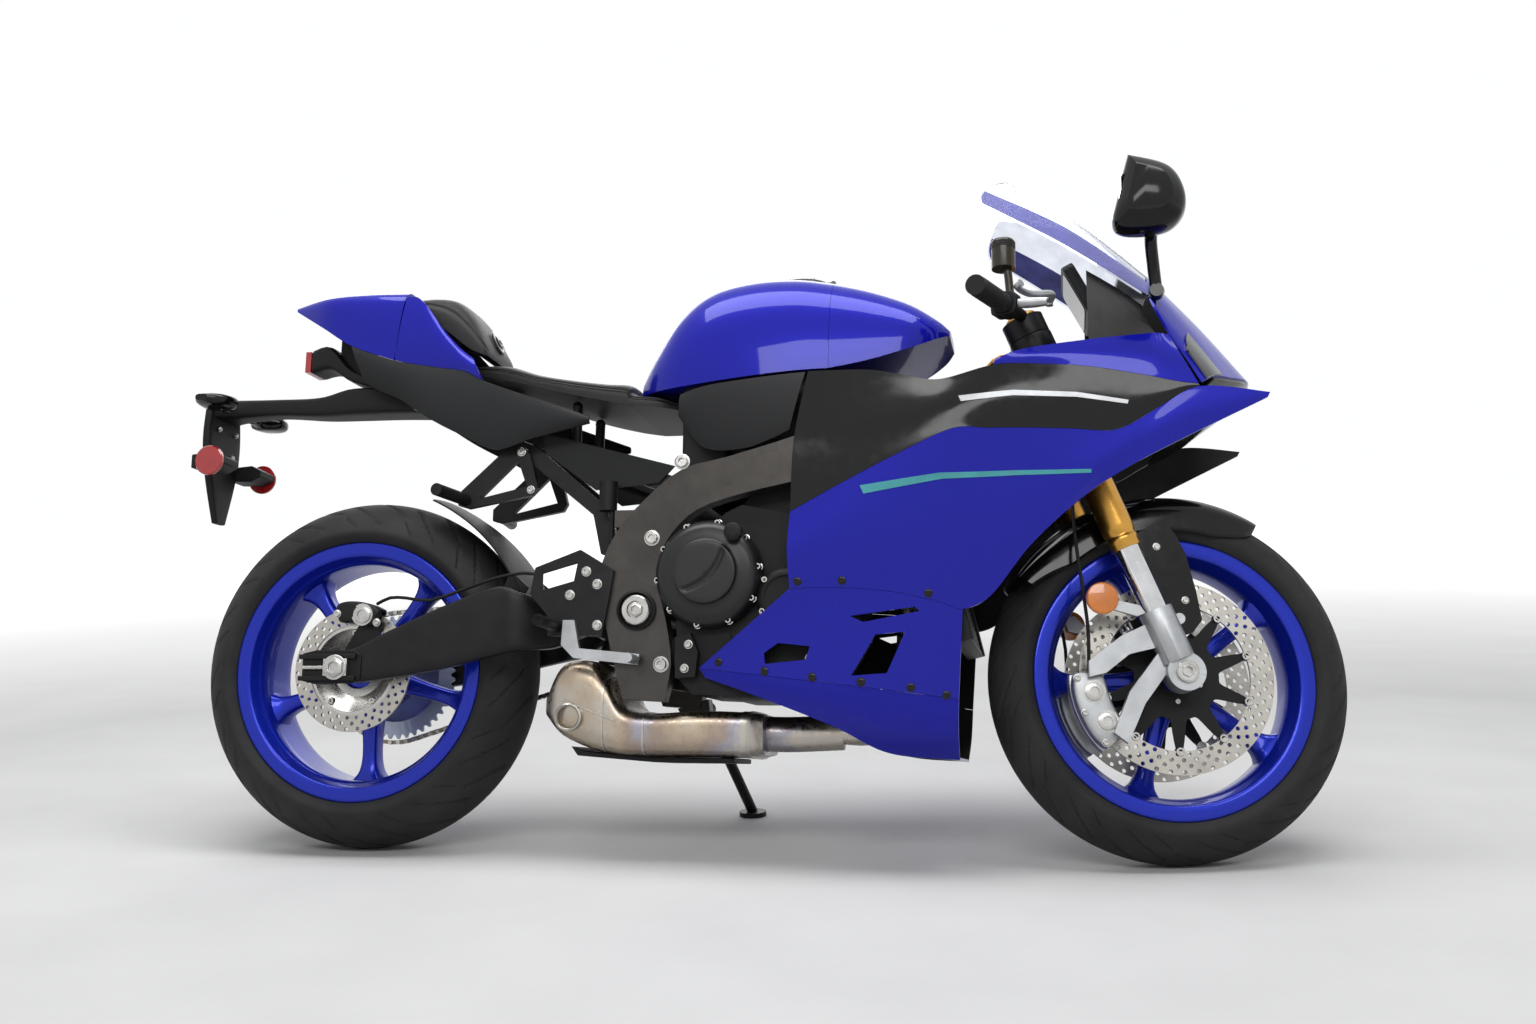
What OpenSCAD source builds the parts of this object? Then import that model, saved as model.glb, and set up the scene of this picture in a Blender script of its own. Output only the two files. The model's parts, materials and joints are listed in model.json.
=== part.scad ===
// Full-fairing sport motorcycle, parked on its side stand.
// Every piece is drawn upright: x runs forward from the rear axle, y to the left, z up from the road.
// parked() then leans the machine on to its stand, and steered() turns the fork to where it rests.

/* [Chassis] */
// Distance between the axles
wheelbase = 1420; // [1410:1:1430]
// Steering head angle from upright
rake = 22.6; // [22:0.1:23.2]
// Trail of the front tyre
trail = 94; // [90:1:98]
// Lean on the side stand
lean = 11; // [10:0.5:12]
// Steering angle at rest, to the left
steer_rest = 13; // [11:1:15]
// Origin ahead of the rear axle
origin_x = 682.4; // [670:0.1:700]
// Origin left of the tyres' middle plane
origin_y = 187.9; // [170:0.1:200]

/* [Wheels] */
// Rear tyre radius
rear_r = 315; // [312:1:317]
// Front tyre radius
front_r = 300; // [298:1:302]
// Crown radius of the rear tyre's section
rear_crown = 95; // [93:1:96]
// Crown radius of the front tyre's section
front_crown = 62; // [60:1:63]
// Half width between the rear bead flanges
rear_bead = 71; // [69:1:72]
// Half width between the front bead flanges
front_bead = 47; // [45:1:48]
// Radius of the rim's flange
flange_r = 232; // [230:1:233]
// Rear brake disc radius
rear_disc_r = 110; // [106:1:112]
// Front brake disc radius
front_disc_r = 160; // [156:1:162]
// Spokes in a wheel
spokes = 5; // [3:1:6]

/* [Axles] */
// Front axle radius
front_axle_r = 12.5; // [11.5:0.5:13.5]
// Rear axle radius
rear_axle_r = 12.5; // [11.5:0.5:13.5]
// Bore radius of the hollow front axle
front_axle_bore = 9; // [7:0.5:10]
// Bore radius of the hollow rear axle
rear_axle_bore = 8; // [6:0.5:10]
// Thread core radius for the paddock stand spools
spool_r = 4; // [3:0.5:5]

/* [Fork] */
// Half distance between the fork legs
fork_half = 105; // [104:0.5:106]
// Radius of the upper fork tubes
tube_r = 27; // [26:0.5:27.5]
// Radius of the lower fork sliders
slider_r = 21.5; // [20.5:0.5:22]

/* [Panels] */
// Wall of the fairing panels
panel_wall = 4; // [3:0.5:4.5]
// Gap at the panel joints
panel_gap = 0.5; // [0.3:0.1:0.7]

/* [Hidden] */
run_gap = 0.25;
seat_gap = 0.3;
fine = 64;

// Steering axis: it meets the road at steer_foot and points up and back.
steer_axis = [-sin(rake), 0, cos(rake)];
steer_foot = [wheelbase + trail, 0, 0];
fork_offset = front_r * sin(rake) - trail * cos(rake);

// Turn a vector about a unit axis.
function turn(v, axis, angle) =
    v * cos(angle) + cross(axis, v) * sin(angle) + axis * (axis * v) * (1 - cos(angle));
function steer_point(p) = steer_foot + turn(p - steer_foot, steer_axis, steer_rest);
function lean_point(p) =
    [p[0], p[1] * cos(lean) + p[2] * sin(lean), p[2] * cos(lean) - p[1] * sin(lean)];

// Lowest point of each leaning tyre, then the pitch and lift that set both on the road.
rear_low = lean_point([0, 0, rear_r])[2] - (rear_r - rear_crown) * cos(lean) - rear_crown;
front_centre = lean_point(steer_point([wheelbase, 0, front_r]));
front_normal = lean_point(turn([0, 1, 0], steer_axis, steer_rest));
front_low = front_centre[2]
    - (front_r - front_crown) * sqrt(1 - front_normal[2] * front_normal[2]) - front_crown;
park_pitch = asin((front_low - rear_low) / wheelbase);
function pitch_point(p) =
    [p[0] * cos(park_pitch) + p[2] * sin(park_pitch), p[1], p[2] * cos(park_pitch) - p[0] * sin(park_pitch)];
function park_point(p) = pitch_point(lean_point(p)) - [origin_x, origin_y, rear_low];
// The road seen from the upright frame: its normal, and its height at a place.
road_up = [-sin(park_pitch), -cos(park_pitch) * sin(lean), cos(park_pitch) * cos(lean)];
function road_z(x, y) = (rear_low - road_up[0] * x - road_up[1] * y) / road_up[2];

module parked() {
    translate([-origin_x, -origin_y, -rear_low])
        rotate([0, park_pitch, 0])
            rotate([-lean, 0, 0])
                children();
}
module steered() {
    translate(steer_foot)
        rotate(a = steer_rest, v = steer_axis)
            translate(-steer_foot)
                children();
}
// Frame of the fork legs: origin on the front axle, z up along the legs.
module fork_frame() {
    translate([wheelbase, 0, front_r])
        rotate([0, -rake, 0])
            children();
}
module pair() {
    children();
    mirror([0, 1, 0])
        children();
}
// Rod along y between two places.
module cross_rod(x, z, y0, y1, r) {
    translate([x, y0, z])
        rotate([-90, 0, 0])
            cylinder(h = y1 - y0, r = r, $fn = fine);
}
// Plate: an outline in x and z, between two places along y.
module plate(points, y0, y1) {
    translate([0, y1, 0])
        rotate([90, 0, 0])
            linear_extrude(height = y1 - y0)
                polygon(points);
}

// Smooth rows: each row is a list of points or numbers, n steps between rows.
function spline(a, b, c, d, t) =
    0.5 * (2 * b + (c - a) * t + (2 * a - 5 * b + 4 * c - d) * t * t + (3 * b - a - 3 * c + d) * t * t * t);
function smooth(rows, n) =
    let (m = len(rows))
    [
        for (i = [0:m - 2])
            for (k = [0:n - 1])
                spline(rows[max(i - 1, 0)], rows[i], rows[i + 1], rows[min(i + 2, m - 1)], k / n),
        rows[m - 1]
    ];
function sum(v) = v * [for (i = v) 1];
function inside_out(points, faces) =
    sum([for (f = faces) cross(points[f[0]], points[f[1]]) * points[f[2]]]) > 0;
module solid(points, faces) {
    flip = inside_out(points, faces);
    polyhedron(points, flip ? [for (f = faces) [f[0], f[2], f[1]]] : faces);
}
// Solid through closed rings of equal length.
module skin(rings) {
    n = len(rings);
    m = len(rings[0]);
    points = [for (r = rings) each r];
    walls = [
        for (i = [0:n - 2])
            for (j = [0:m - 1])
                for (s = [0, 1])
                    let (a = i * m + j, b = i * m + (j + 1) % m)
                    s == 0 ? [a, b, b + m] : [a, b + m, a + m]
    ];
    caps = [
        for (j = [1:m - 2])
            for (s = [0, 1])
                s == 0 ? [0, j + 1, j] : [(n - 1) * m, (n - 1) * m + j, (n - 1) * m + j + 1]
    ];
    solid(points, concat(walls, caps));
}
// Shell between an outer and an inner grid of points.
function moved(grid, wall) = [for (r = grid) [for (p = r) p + wall]];
module shell(grid, inner_grid) {
    n = len(grid);
    m = len(grid[0]);
    outer = [for (r = grid) each r];
    inner = [for (r = inner_grid) each r];
    k = n * m;
    skins = [
        for (i = [0:n - 2])
            for (j = [0:m - 2])
                for (s = [0:3])
                    let (a = i * m + j, b = a + 1, c = a + m + 1, d = a + m)
                    s == 0 ? [a, b, c] : s == 1 ? [a, c, d] : s == 2 ? [a + k, c + k, b + k] : [a + k, d + k, c + k]
    ];
    ends = [
        for (j = [0:m - 2])
            for (s = [0:3])
                let (a = j, d = (n - 1) * m + j)
                s == 0 ? [a, a + k, a + k + 1] : s == 1 ? [a, a + k + 1, a + 1]
                : s == 2 ? [d, d + k + 1, d + k] : [d, d + 1, d + k + 1]
    ];
    sides = [
        for (i = [0:n - 2])
            for (s = [0:3])
                let (a = i * m, d = i * m + m - 1)
                s == 0 ? [a, a + m + k, a + k] : s == 1 ? [a, a + m, a + m + k]
                : s == 2 ? [d, d + k, d + m + k] : [d, d + m + k, d + m]
    ];
    solid(concat(outer, inner), concat(skins, ends, sides));
}
// Columns of a panel row: any number of [x, y, z] points from the top edge down.
function mirrored(grid, side) = [for (r = grid) [for (p = r) [p[0], p[1] * side, p[2]]]];
function flipped(grid) = [for (i = [0:len(grid[0]) - 1]) [for (r = grid) r[i]]];
function fine_grid(grid, n, m) = flipped(smooth(flipped(smooth(grid, n)), m));
// A panel keeps the ribs from first to last; the others only shape its ends.
function kept(grid, n, first, last) = [for (i = [first * n:last * n]) grid[i]];
module side_panel(grid, n, m, first, last) {
    for (side = [-1, 1])
        let (face = mirrored(kept(fine_grid(grid, n, m), n, first, last), side))
            shell(face, moved(face, [0, -panel_wall * side, 0]));
}
// Half oval section across the machine: half width, floor and top.
function dome(x, half, floor_z, top, n) =
    [
        for (k = [0:n])
            let (a = 180 * k / n, c = cos(a))
            [x, half * sign(c) * pow(abs(c), 0.6), floor_z + (top - floor_z) * pow(max(sin(a), 0), 0.8)]
    ];
module dome_body(rows, n, m) {
    skin([for (r = smooth(rows, n)) dome(r[0], r[1], r[2], r[3], m)]);
}
// Tube along a smooth path.
function unit(v) = v / norm(v);
function ring_at(p, d, r, sides, ref) =
    let (u = unit(cross(d, ref)), w = unit(cross(d, u)))
    [for (k = [0:sides - 1]) p + r * (cos(360 * k / sides) * u + sin(360 * k / sides) * w)];
module tube_path(path, r, n, sides, ref) {
    way = smooth(path, n);
    last = len(way) - 1;
    skin([
        for (i = [0:last])
            ring_at(way[i], way[min(i + 1, last)] - way[max(i - 1, 0)], r, sides, ref)
    ]);
}
// Straight rod between two points.
module rod(a, b, r) {
    d = b - a;
    translate(a)
        rotate([0, acos(d[2] / norm(d)), atan2(d[1], d[0])])
            cylinder(h = norm(d), r = r, $fn = fine);
}

// Side stand: pivot, foot on the road, and the hinge that folds the leg back.
stand_pivot = [590, 172, 256];
stand_foot = [652, 318, road_z(652, 318)];
stand_folded = [-0.98, 0.06, 0.12];
stand_hinge = unit(cross(stand_foot - stand_pivot, stand_folded));

// Main frame: spar columns x_top, z_top, x_low, z_low, y_in, y_out from the head to the foot.
pivot_x = 540;
pivot_z = 412;
spar_rows = [
    [1178, 815, 1216, 708, 8, 33],
    [1125, 806, 1160, 700, 42, 76],
    [1085, 792, 1108, 690, 88, 124],
    [960, 756, 985, 668, 128, 168],
    [830, 706, 842, 630, 138, 178],
    [700, 670, 725, 606, 134, 172],
    [620, 652, 648, 582, 130, 166],
    [555, 605, 602, 545, 122, 158],
    [500, 545, 577, 500, 116, 152],
    [472, 470, 574, 460, 114, 150],
    [488, 380, 592, 390, 114, 150],
    [505, 310, 602, 320, 114, 150],
    [520, 262, 590, 258, 114, 150],
];
function spar_ring(r, side) =
    [
        [r[0], r[4] * side, r[1]],
        [r[0], r[5] * side, r[1]],
        [r[2], r[5] * side, r[3]],
        [r[2], r[4] * side, r[3]],
    ];
head_low = 432;
head_top = 583;
stem_r = 17;
module frame() {
    color("#3a3734")
        difference() {
            union() {
                for (side = [-1, 1])
                    skin([for (r = smooth(spar_rows, 3)) spar_ring(r, side)]);
                fork_frame()
                    translate([-fork_offset, 0, head_low])
                        cylinder(h = head_top - head_low, r = 34, $fn = fine);
                // cross members under the tank and behind the shock
                translate([598, -136, 606])
                    cube([40, 272, 40]);
                translate([488, -122, 560])
                    cube([50, 244, 30]);
                // lug for the side stand
                plate([[548, 258], [560, 236], [612, 226], [606, 276]], 118, 148);
                rod(stand_pivot - stand_hinge * 44, stand_pivot - stand_hinge * 12, 15);
            }
            fork_frame()
                translate([-fork_offset, 0, head_low - 1])
                    cylinder(h = head_top - head_low + 2, r = stem_r + run_gap, $fn = fine);
            cross_rod(pivot_x, pivot_z, -200, 200, 15 + run_gap);
        }
}

// Subframe under the seats: rails between y values, front ends on the frame's cross member.
rail_in = 60;
rail_out = 80;
module subframe() {
    color("#222222")
        union() {
            pair() {
                plate([[597.7, 650], [597.7, 616], [400, 690], [250, 748], [84, 795], [84, 822], [262, 778], [408, 722]],
                    rail_in, rail_out);
                plate([[492, 520], [452, 520], [436, 590], [300, 700], [320, 722], [456, 606]], rail_in, rail_out);
                cross_rod(486, 524, rail_in + 2, 114, 11);
                // posts under the rider's seat
                rod([397.4, 70, 715], [397.4, 70, 789.8], 9);
                translate([397.4, 70, 789.8])
                    sphere(r = 9.6, $fn = fine);
            }
            cross_rod(330, 728, -rail_in - 4, rail_in + 4, 10);
            translate([84, -rail_in - 4, 796])
                cube([20, 2 * rail_in + 8, 24]);
            translate([90, -18, 800])
                cube([70, 36, 16]);
            // post under the pillion seat
            rod([144.3, 0, 804], [144.3, 0, 927.2], 9);
            translate([144.3, 0, 927.2])
                sphere(r = 9.6, $fn = fine);
        }
}

// Swingarm: columns x, rise over and drop under the line from axle to pivot, y_in, y_out of one arm.
arm_rows = [
    [-58, 31, -11, 118, 148],
    [20, 29, -29, 118, 150],
    [80, 47, -33, 118, 150],
    [180, 73, -35, 118, 150],
    [280, 91, -29, 118, 148],
    [326, 72, -28, 117, 148],
    [376, 51, -30, 80, 112],
    [430, 44, -16, 58, 90],
    [500, 31, -17, 56, 88],
    [540, 22, -22, 56, 88],
];
function arm_line(x) = rear_r + (pivot_z - rear_r) * x / pivot_x;
function arm_ring(r, side) =
    [
        [r[0], r[3] * side, arm_line(r[0]) + r[1]],
        [r[0], r[4] * side, arm_line(r[0]) + r[1]],
        [r[0], r[4] * side, arm_line(r[0]) + r[2]],
        [r[0], r[3] * side, arm_line(r[0]) + r[2]],
    ];
spool_x = 60;
spool_z = rear_r + 7;
module swingarm() {
    color("#1d1d1f")
        difference() {
            union() {
                for (side = [-1, 1])
                    skin([for (r = smooth(arm_rows, 3)) arm_ring(r, side)]);
                cross_rod(pivot_x, pivot_z, -110, 110, 26);
                translate([396, -80, 384])
                    cube([26, 160, 44]);
            }
            cross_rod(0, rear_r, -200, 200, rear_axle_r + run_gap);
            cross_rod(pivot_x, pivot_z, -200, 200, 15 + run_gap);
            for (side = [-1, 1])
                cross_rod(spool_x, spool_z, side > 0 ? 122 : -170, side > 0 ? 170 : -122, spool_r);
        }
}
module pivot_shaft() {
    color("#8a8a8a")
        union() {
            cross_rod(pivot_x, pivot_z, -152, 152, 15);
            cross_rod(pivot_x, pivot_z, -160, -151, 24);
            cross_rod(pivot_x, pivot_z, 151, 160, 24);
        }
}
// Rear axle with its nuts, adjuster blocks and spacers.
module rear_axle() {
    color("#9a9a9a")
        difference() {
            union() {
                cross_rod(0, rear_r, -166, 166, rear_axle_r);
                pair() {
                    cross_rod(0, rear_r, 150.6, 162, 20);
                    cross_rod(0, rear_r, 62.3, 80, 22);
                }
                cross_rod(0, rear_r, -116.5, -100, 22);
                cross_rod(0, rear_r, 112, 116.5, 22);
            }
            cross_rod(0, rear_r, -200, 200, rear_axle_bore);
        }
}

// Chain line: radii round the sprockets and the front sprocket's place.
chain_rear = 119;
chain_front = 44;
sprocket_x = 622;
sprocket_z = 436;

// Engine: crankcase and cylinders as plain masses between the spars.
module engine() {
    color("#2b2b2d")
        union() {
            plate([[690, 266], [690, 576], [720, 590], [870, 560], [905, 500], [905, 380], [860, 300], [780, 266]],
                -150, 150);
            plate([[612, 300], [608, 520], [664, 560], [694, 576], [694, 268], [640, 270]], -150, 82);
            plate([[690, 560], [792, 690], [880, 690], [962, 640], [905, 500], [800, 540]], -124, 124);
            cross_rod(sprocket_x, sprocket_z, 60, 104, chain_front - 0.4);
            // rear hanger between the frame's feet
            plate([[568, 286], [568, 316], [640, 340], [640, 276]], -60, 60);
            cross_rod(582, 300, -113.6, 113.6, 14);
        }
}
// Covers on both ends of the crankcase.
module engine_covers() {
    color("#18181a")
        union() {
            translate([668, -150.3, 470])
                rotate([90, 0, 0])
                    rotate_extrude($fn = fine)
                        polygon([[0, 0], [92, 0], [92, 14], [86, 30], [74, 40], [54, 44], [50, 52], [0, 54]]);
            translate([800, -150.3, 430])
                rotate([90, 0, 0])
                    rotate_extrude($fn = fine)
                        polygon([[0, 0], [52, 0], [50, 16], [42, 24], [0, 26]]);
            plate([[612, 296], [612, 366], [640, 372], [652, 340], [648, 296]], -168, -150.3);
            translate([772, 150.3, 440])
                rotate([-90, 0, 0])
                    rotate_extrude($fn = fine)
                        polygon([[0, 0], [76, 0], [76, 14], [68, 24], [54, 30], [0, 32]]);
        }
}
// Exhaust: silencer box under the engine, then collector and three header pipes.
silencer_mid = -20;
silencer_rows = [
    [368, 80, 232, 272],
    [398, 102, 200, 326],
    [450, 108, 178, 330],
    [482, 108, 172, 298],
    [510, 108, 169, 252],
    [560, 108, 168, 242],
    [640, 106, 168, 246],
    [720, 98, 168, 244],
    [750, 76, 172, 240],
];
function box_ring(x, half, low, top, round) =
    [
        for (k = [0:23])
            let (a = 15 * k + 7.5, c = cos(a), s = sin(a))
            [
                x,
                silencer_mid + half * sign(c) * pow(abs(c), round),
                (low + top) / 2 + (top - low) / 2 * sign(s) * pow(abs(s), round),
            ]
    ];
module silencer() {
    color("#2a2a2c")
        skin([for (r = smooth(silencer_rows, 2)) box_ring(r[0], r[1], r[2], r[3], 0.4)]);
}
module headers() {
    color("#b59a6a")
        union() {
            tube_path([[750.5, -40, 208], [800, -40, 208], [880, -36, 212]], 30, 2, 14, [0, 0, 1]);
            for (lane = [-1, 0, 1])
                tube_path([[866, -36 + lane * 8, 212], [930, -10 + lane * 50, 216], [984, lane * 80, 280],
                    [996, lane * 84, 420], [992, lane * 84, 520], [974, lane * 84, 564], [942.4, lane * 84, 578.4]],
                    19, 3, 10, [0.2, 1, 0]);
            plate([[925.4, 548.8], [951.1, 611.8], [958.9, 608.6], [933.3, 545.6]], -112, 112);
        }
}
module radiator() {
    color("#1a1a1c")
        union() {
            translate([1056, 0, 500])
                rotate([0, -14, 0]) {
                    translate([-14, -165, -150])
                        cube([28, 330, 300]);
                    for (side = [-1, 1])
                        translate([-18, side * 170 - 14, -150])
                            cube([36, 28, 300]);
                }
            pair() {
                rod([1030, 165, 606], [986.9, 148, 659.4], 8);
                translate([986.9, 148, 658.4])
                    sphere(r = 9, $fn = fine);
            }
        }
}

// Tank and the cover ahead of it: columns x, half width, floor, top.
tank_rows = [
    [516, 62, 806, 842],
    [545, 98, 805, 890],
    [590, 126, 805, 958],
    [645, 142, 808, 998],
    [720, 152, 814, 1014],
    [800, 156, 820, 1014],
    [866, 150, 824, 1004],
];
cover_rows = [
    [866.5, 150, 824, 1004],
    [930, 140, 838, 988],
    [1000, 120, 862, 962],
    [1046, 92, 884, 932],
    [1066, 60, 898, 914],
];
lid_x = 800;
lid_z = 1014;
lid_r = 50;
module fuel_tank() {
    color("#1c2f9c")
        difference() {
            union() {
                dome_body(tank_rows, 3, 20);
                translate([604, -116, 646.3])
                    cube([80, 232, 180]);
                translate([680, -116, 694])
                    cube([174, 232, 132]);
            }
            translate([lid_x, 0, lid_z - 14])
                cylinder(h = 60, r = lid_r + 6, $fn = fine);
        }
}
module tank_cover() {
    color("#1c2f9c")
        dome_body(cover_rows, 3, 20);
}
module filler_lid() {
    color("#202022")
        union() {
            translate([lid_x, 0, lid_z - 13.7])
                cylinder(h = 20, r = lid_r, $fn = fine);
            translate([lid_x + lid_r - 12, -14, lid_z - 3])
                cube([14, 28, 9.5]);
            cross_rod(lid_x + lid_r + 4, lid_z + 4, -14, 14, 5);
        }
}
knee_rows = [
    [[602, 128, 792], [600, 128, 752]],
    [[650, 150, 800], [650, 150, 692]],
    [[720, 162, 806], [720, 166, 684]],
    [[790, 168, 811], [770, 174, 697]],
    [[830, 170, 813], [805, 178, 712]],
];
module knee_panels() {
    color("#2e2f31")
        union() {
            side_panel(knee_rows, 3, 1, 0, 4);
            pair()
                cross_rod(720, 745, 116.3, 162, 8);
        }
}

// Seats: columns x, half width, floor, top.
seat_rows = [
    [192, 60, 862, 882],
    [260, 88, 842, 876],
    [330, 112, 820, 852],
    [400, 128, 800, 837],
    [460, 134, 786, 828],
    [504, 132, 778, 824],
    [514, 131, 777, 804],
    [560, 116, 774, 800],
    [598, 90, 772, 786],
];
module rider_seat() {
    color("#161617")
        dome_body(seat_rows, 2, 16);
}
pillion_rows = [
    [64, 74, 985, 1012],
    [110, 79, 962, 1016],
    [150, 82, 936, 1008],
    [185, 82, 908, 976],
    [214, 80, 894, 928],
    [222, 70, 892, 906],
];
module pillion_seat() {
    color("#161617")
        dome_body(pillion_rows, 2, 16);
}
// Tail: top cover across the machine, then a side blade each side.
tail_top_rows = [
    [[-188, 26, 1008], [-190, 20, 1016], [-190, 0, 1018], [-190, -20, 1016], [-188, -26, 1008]],
    [[-110, 66, 960], [-110, 60, 1018], [-110, 0, 1024], [-110, -60, 1018], [-110, -66, 960]],
    [[-45, 80, 920], [-30, 72, 1016], [-30, 0, 1024], [-30, -72, 1016], [-45, -80, 920]],
    [[46, 90, 886], [60, 80, 1010], [60, 0, 1018], [60, -80, 1010], [46, -90, 886]],
];
// Wall of the tail cover, point by point across it.
tail_walls = [[0, -4, 0], [0, -4, -4], [0, 0, -5], [0, 4, -4], [0, 4, 0]];
tail_inner_rows = [for (r = tail_top_rows) [for (k = [0:4]) r[k] + tail_walls[k]]];
tail_blade_rows = [
    [[-30, 72, 1016], [-45, 80, 920]],
    [[62, 80, 1010], [48, 90, 886]],
    [[95, 85, 998], [130, 98, 868]],
    [[150, 93, 930], [190, 106, 856]],
    [[206, 101, 880], [230, 112, 836]],
    [[330, 124, 800], [330, 124, 797]],
];
module tail_cowl() {
    color("#1c2f9c")
        union() {
            shell(fine_grid(tail_top_rows, 3, 2), fine_grid(tail_inner_rows, 3, 2));
            side_panel(tail_blade_rows, 3, 1, 1, 4);
        }
}
tail_side_rows = [
    [[-110, 66, 959], [-90, 62, 930]],
    [[-45, 80, 919.4], [-16, 76, 850]],
    [[47, 90, 885.4], [60, 90, 812]],
    [[130, 98, 867.4], [130, 106, 768]],
    [[190, 106, 855.4], [190, 113, 737]],
    [[230, 112, 835.4], [262, 118, 706]],
    [[330, 124, 797], [330, 124, 722]],
    [[440, 132, 757], [440, 132, 745]],
];
module tail_sides() {
    color("#1a1a1b")
        union() {
            side_panel(tail_side_rows, 3, 1, 1, 7);
            // flat covers on the subframe's rails
            pair()
                plate([[338, 740], [584, 674], [556, 644], [440, 634], [346, 702]], 80.3, 85);
        }
}
// Under-tail: floor box, plate arm and blank plate holder.
module plate_arm() {
    color("#1a1a1b")
        union() {
            plate([[83.7, 798], [83.7, 826], [20, 850], [-60, 880], [-110, 930], [-150, 930], [-150, 880],
                [-125, 828], [-300, 836], [-330, 800], [-120, 798]], -40, 40);
            plate([[-100, 900], [-100, 1018.4], [-40, 1018.4], [-40, 860]], -12, 12);
            skin([
                for (r = [[840, 50, -338, -352], [760, 58, -336, -352], [690, 46, -334, -350], [600, 16, -334, -344]])
                    [[r[2], -r[1], r[0]], [r[2], r[1], r[0]], [r[3], r[1], r[0]], [r[3], -r[1], r[0]]]
            ]);
            plate([[-338, 800], [-300, 800], [-300, 830], [-338, 830]], -45, 45);
            pair()
                plate([[-346, 716], [-346, 694], [-280, 694], [-280, 716]], 40, 96);
        }
}
module rear_lamps() {
    color("#a01818")
        union() {
            translate([-162, -30, 886])
                cube([11.7, 60, 40]);
            pair() {
                skin([
                    for (r = [[45.4, 8, 9], [70, 10, 10], [84, 34, 14], [120, 30, 12], [142, 12, 6]])
                        [
                            for (k = [0:11])
                                [-312 + r[1] * 0.4 + r[1] * cos(30 * k), r[0], 816 + r[2] * sin(30 * k)]
                        ]
                ]);
                cross_rod(-307, 705, 96.4, 104, 28);
            }
        }
}
// Hugger: an arch over the tyre, and a leg each side with a peg; leg columns room over the tyre, angle.
hugger_room = 19;
hugger_leg = [[-31, 22.8], [-18, 18.2], [3, 19.3], [39, 24.5], [30, 28.2], [22, 31.3]];
function round_wheel(room, angle) =
    [(rear_r + room) * cos(angle), rear_r + (rear_r + room) * sin(angle)];
module hugger() {
    low = rear_r + hugger_room;
    peg = round_wheel(-14, 21.4);
    color("#1a1a1b")
        union() {
            translate([0, 0, rear_r])
                rotate([90, 0, 0])
                    rotate([0, 0, 22])
                        rotate_extrude(angle = 44, $fn = fine)
                            polygon([[low, -90], [low + 6, -90], [low + 8, 0], [low + 6, 90], [low, 90], [low + 2, 0]]);
            pair() {
                plate([for (q = hugger_leg) round_wheel(q[0], q[1])], 81, 87);
                cross_rod(peg[0], peg[1], 84, 117.4, 8);
            }
        }
}
module rear_shock() {
    color("#303033")
        translate([452, 0, 330])
            rotate([0, 11.5, 0])
                rotate_extrude($fn = fine)
                    polygon([[0, 0], [22, 0], [22, 40], [34, 44], [30, 60], [35, 70], [30, 84], [35, 96], [30, 110],
                        [35, 122], [30, 136], [35, 148], [30, 162], [24, 170], [24, 229.2], [0, 229.2]]);
}
// Rider's rests and heel guards, with the passenger's rests behind.
module footrests() {
    color("#202022")
        pair() {
            difference() {
                plate([[482, 368], [494, 440], [500, 480], [440, 516], [360, 486], [352, 440], [384, 404], [386, 368]],
                    150.4, 160);
                plate([[372, 476], [372, 446], [430, 462], [436, 494]], 150, 161);
            }
            rod([402, 160, 384], [394, 236, 388], 10);
            difference() {
                plate([[334, 640], [326, 626], [206, 604], [186, 610], [186, 632], [286, 724], [306, 716], [318, 700]],
                    80.3, 92);
                plate([[314, 642], [226, 622], [296, 690]], 80, 93);
            }
            rod([200, 90, 620], [184, 190, 622], 11);
        }
}
module foot_controls() {
    color("#a8a9ab")
        union() {
            plate([[436, 394], [416, 394], [414, 352], [436, 330], [548, 318], [552, 336], [446, 346]], -170, -160.4);
            cross_rod(544, 327, -214, -168, 8);
            plate([[436, 394], [416, 394], [414, 352], [436, 334], [548, 322], [552, 340], [446, 350]], 160.4, 170);
            cross_rod(544, 331, 168, 214, 8);
        }
}
// Rear brake caliper and its carrier plate, drawn about the axle.
carrier_rows = [[-26, -13], [-26, 15], [20, 95], [58, 85], [40, 15], [26, -15]];
module rear_caliper() {
    color("#26262a")
        difference() {
            union() {
                translate([0, -78, rear_r])
                    rotate([90, 0, 0])
                        rotate([0, 0, 62])
                            rotate_extrude(angle = 42, $fn = fine)
                                translate([rear_disc_r - 28, 0])
                                    square([40, 38]);
                plate([for (q = carrier_rows) [q[0], rear_r + q[1]]], -99.7, -94.5);
            }
            translate([0, -86.6, rear_r])
                rotate([90, 0, 0])
                    cylinder(h = 7.4, r = rear_disc_r + 4, $fn = fine);
            cross_rod(0, rear_r, -200, -60, rear_axle_r + run_gap);
        }
}
// Chain: one loop round both sprockets.
module chain() {
    color("#6f6a58")
        translate([0, 108, 0])
            rotate([90, 0, 0])
                linear_extrude(height = 14)
                    difference() {
                        hull() {
                            translate([0, rear_r])
                                circle(r = chain_rear + 9, $fn = 72);
                            translate([sprocket_x, sprocket_z])
                                circle(r = chain_front + 9, $fn = 36);
                        }
                        hull() {
                            translate([0, rear_r])
                                circle(r = chain_rear, $fn = 72);
                            translate([sprocket_x, sprocket_z])
                                circle(r = chain_front, $fn = 36);
                        }
                    }
}

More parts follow.
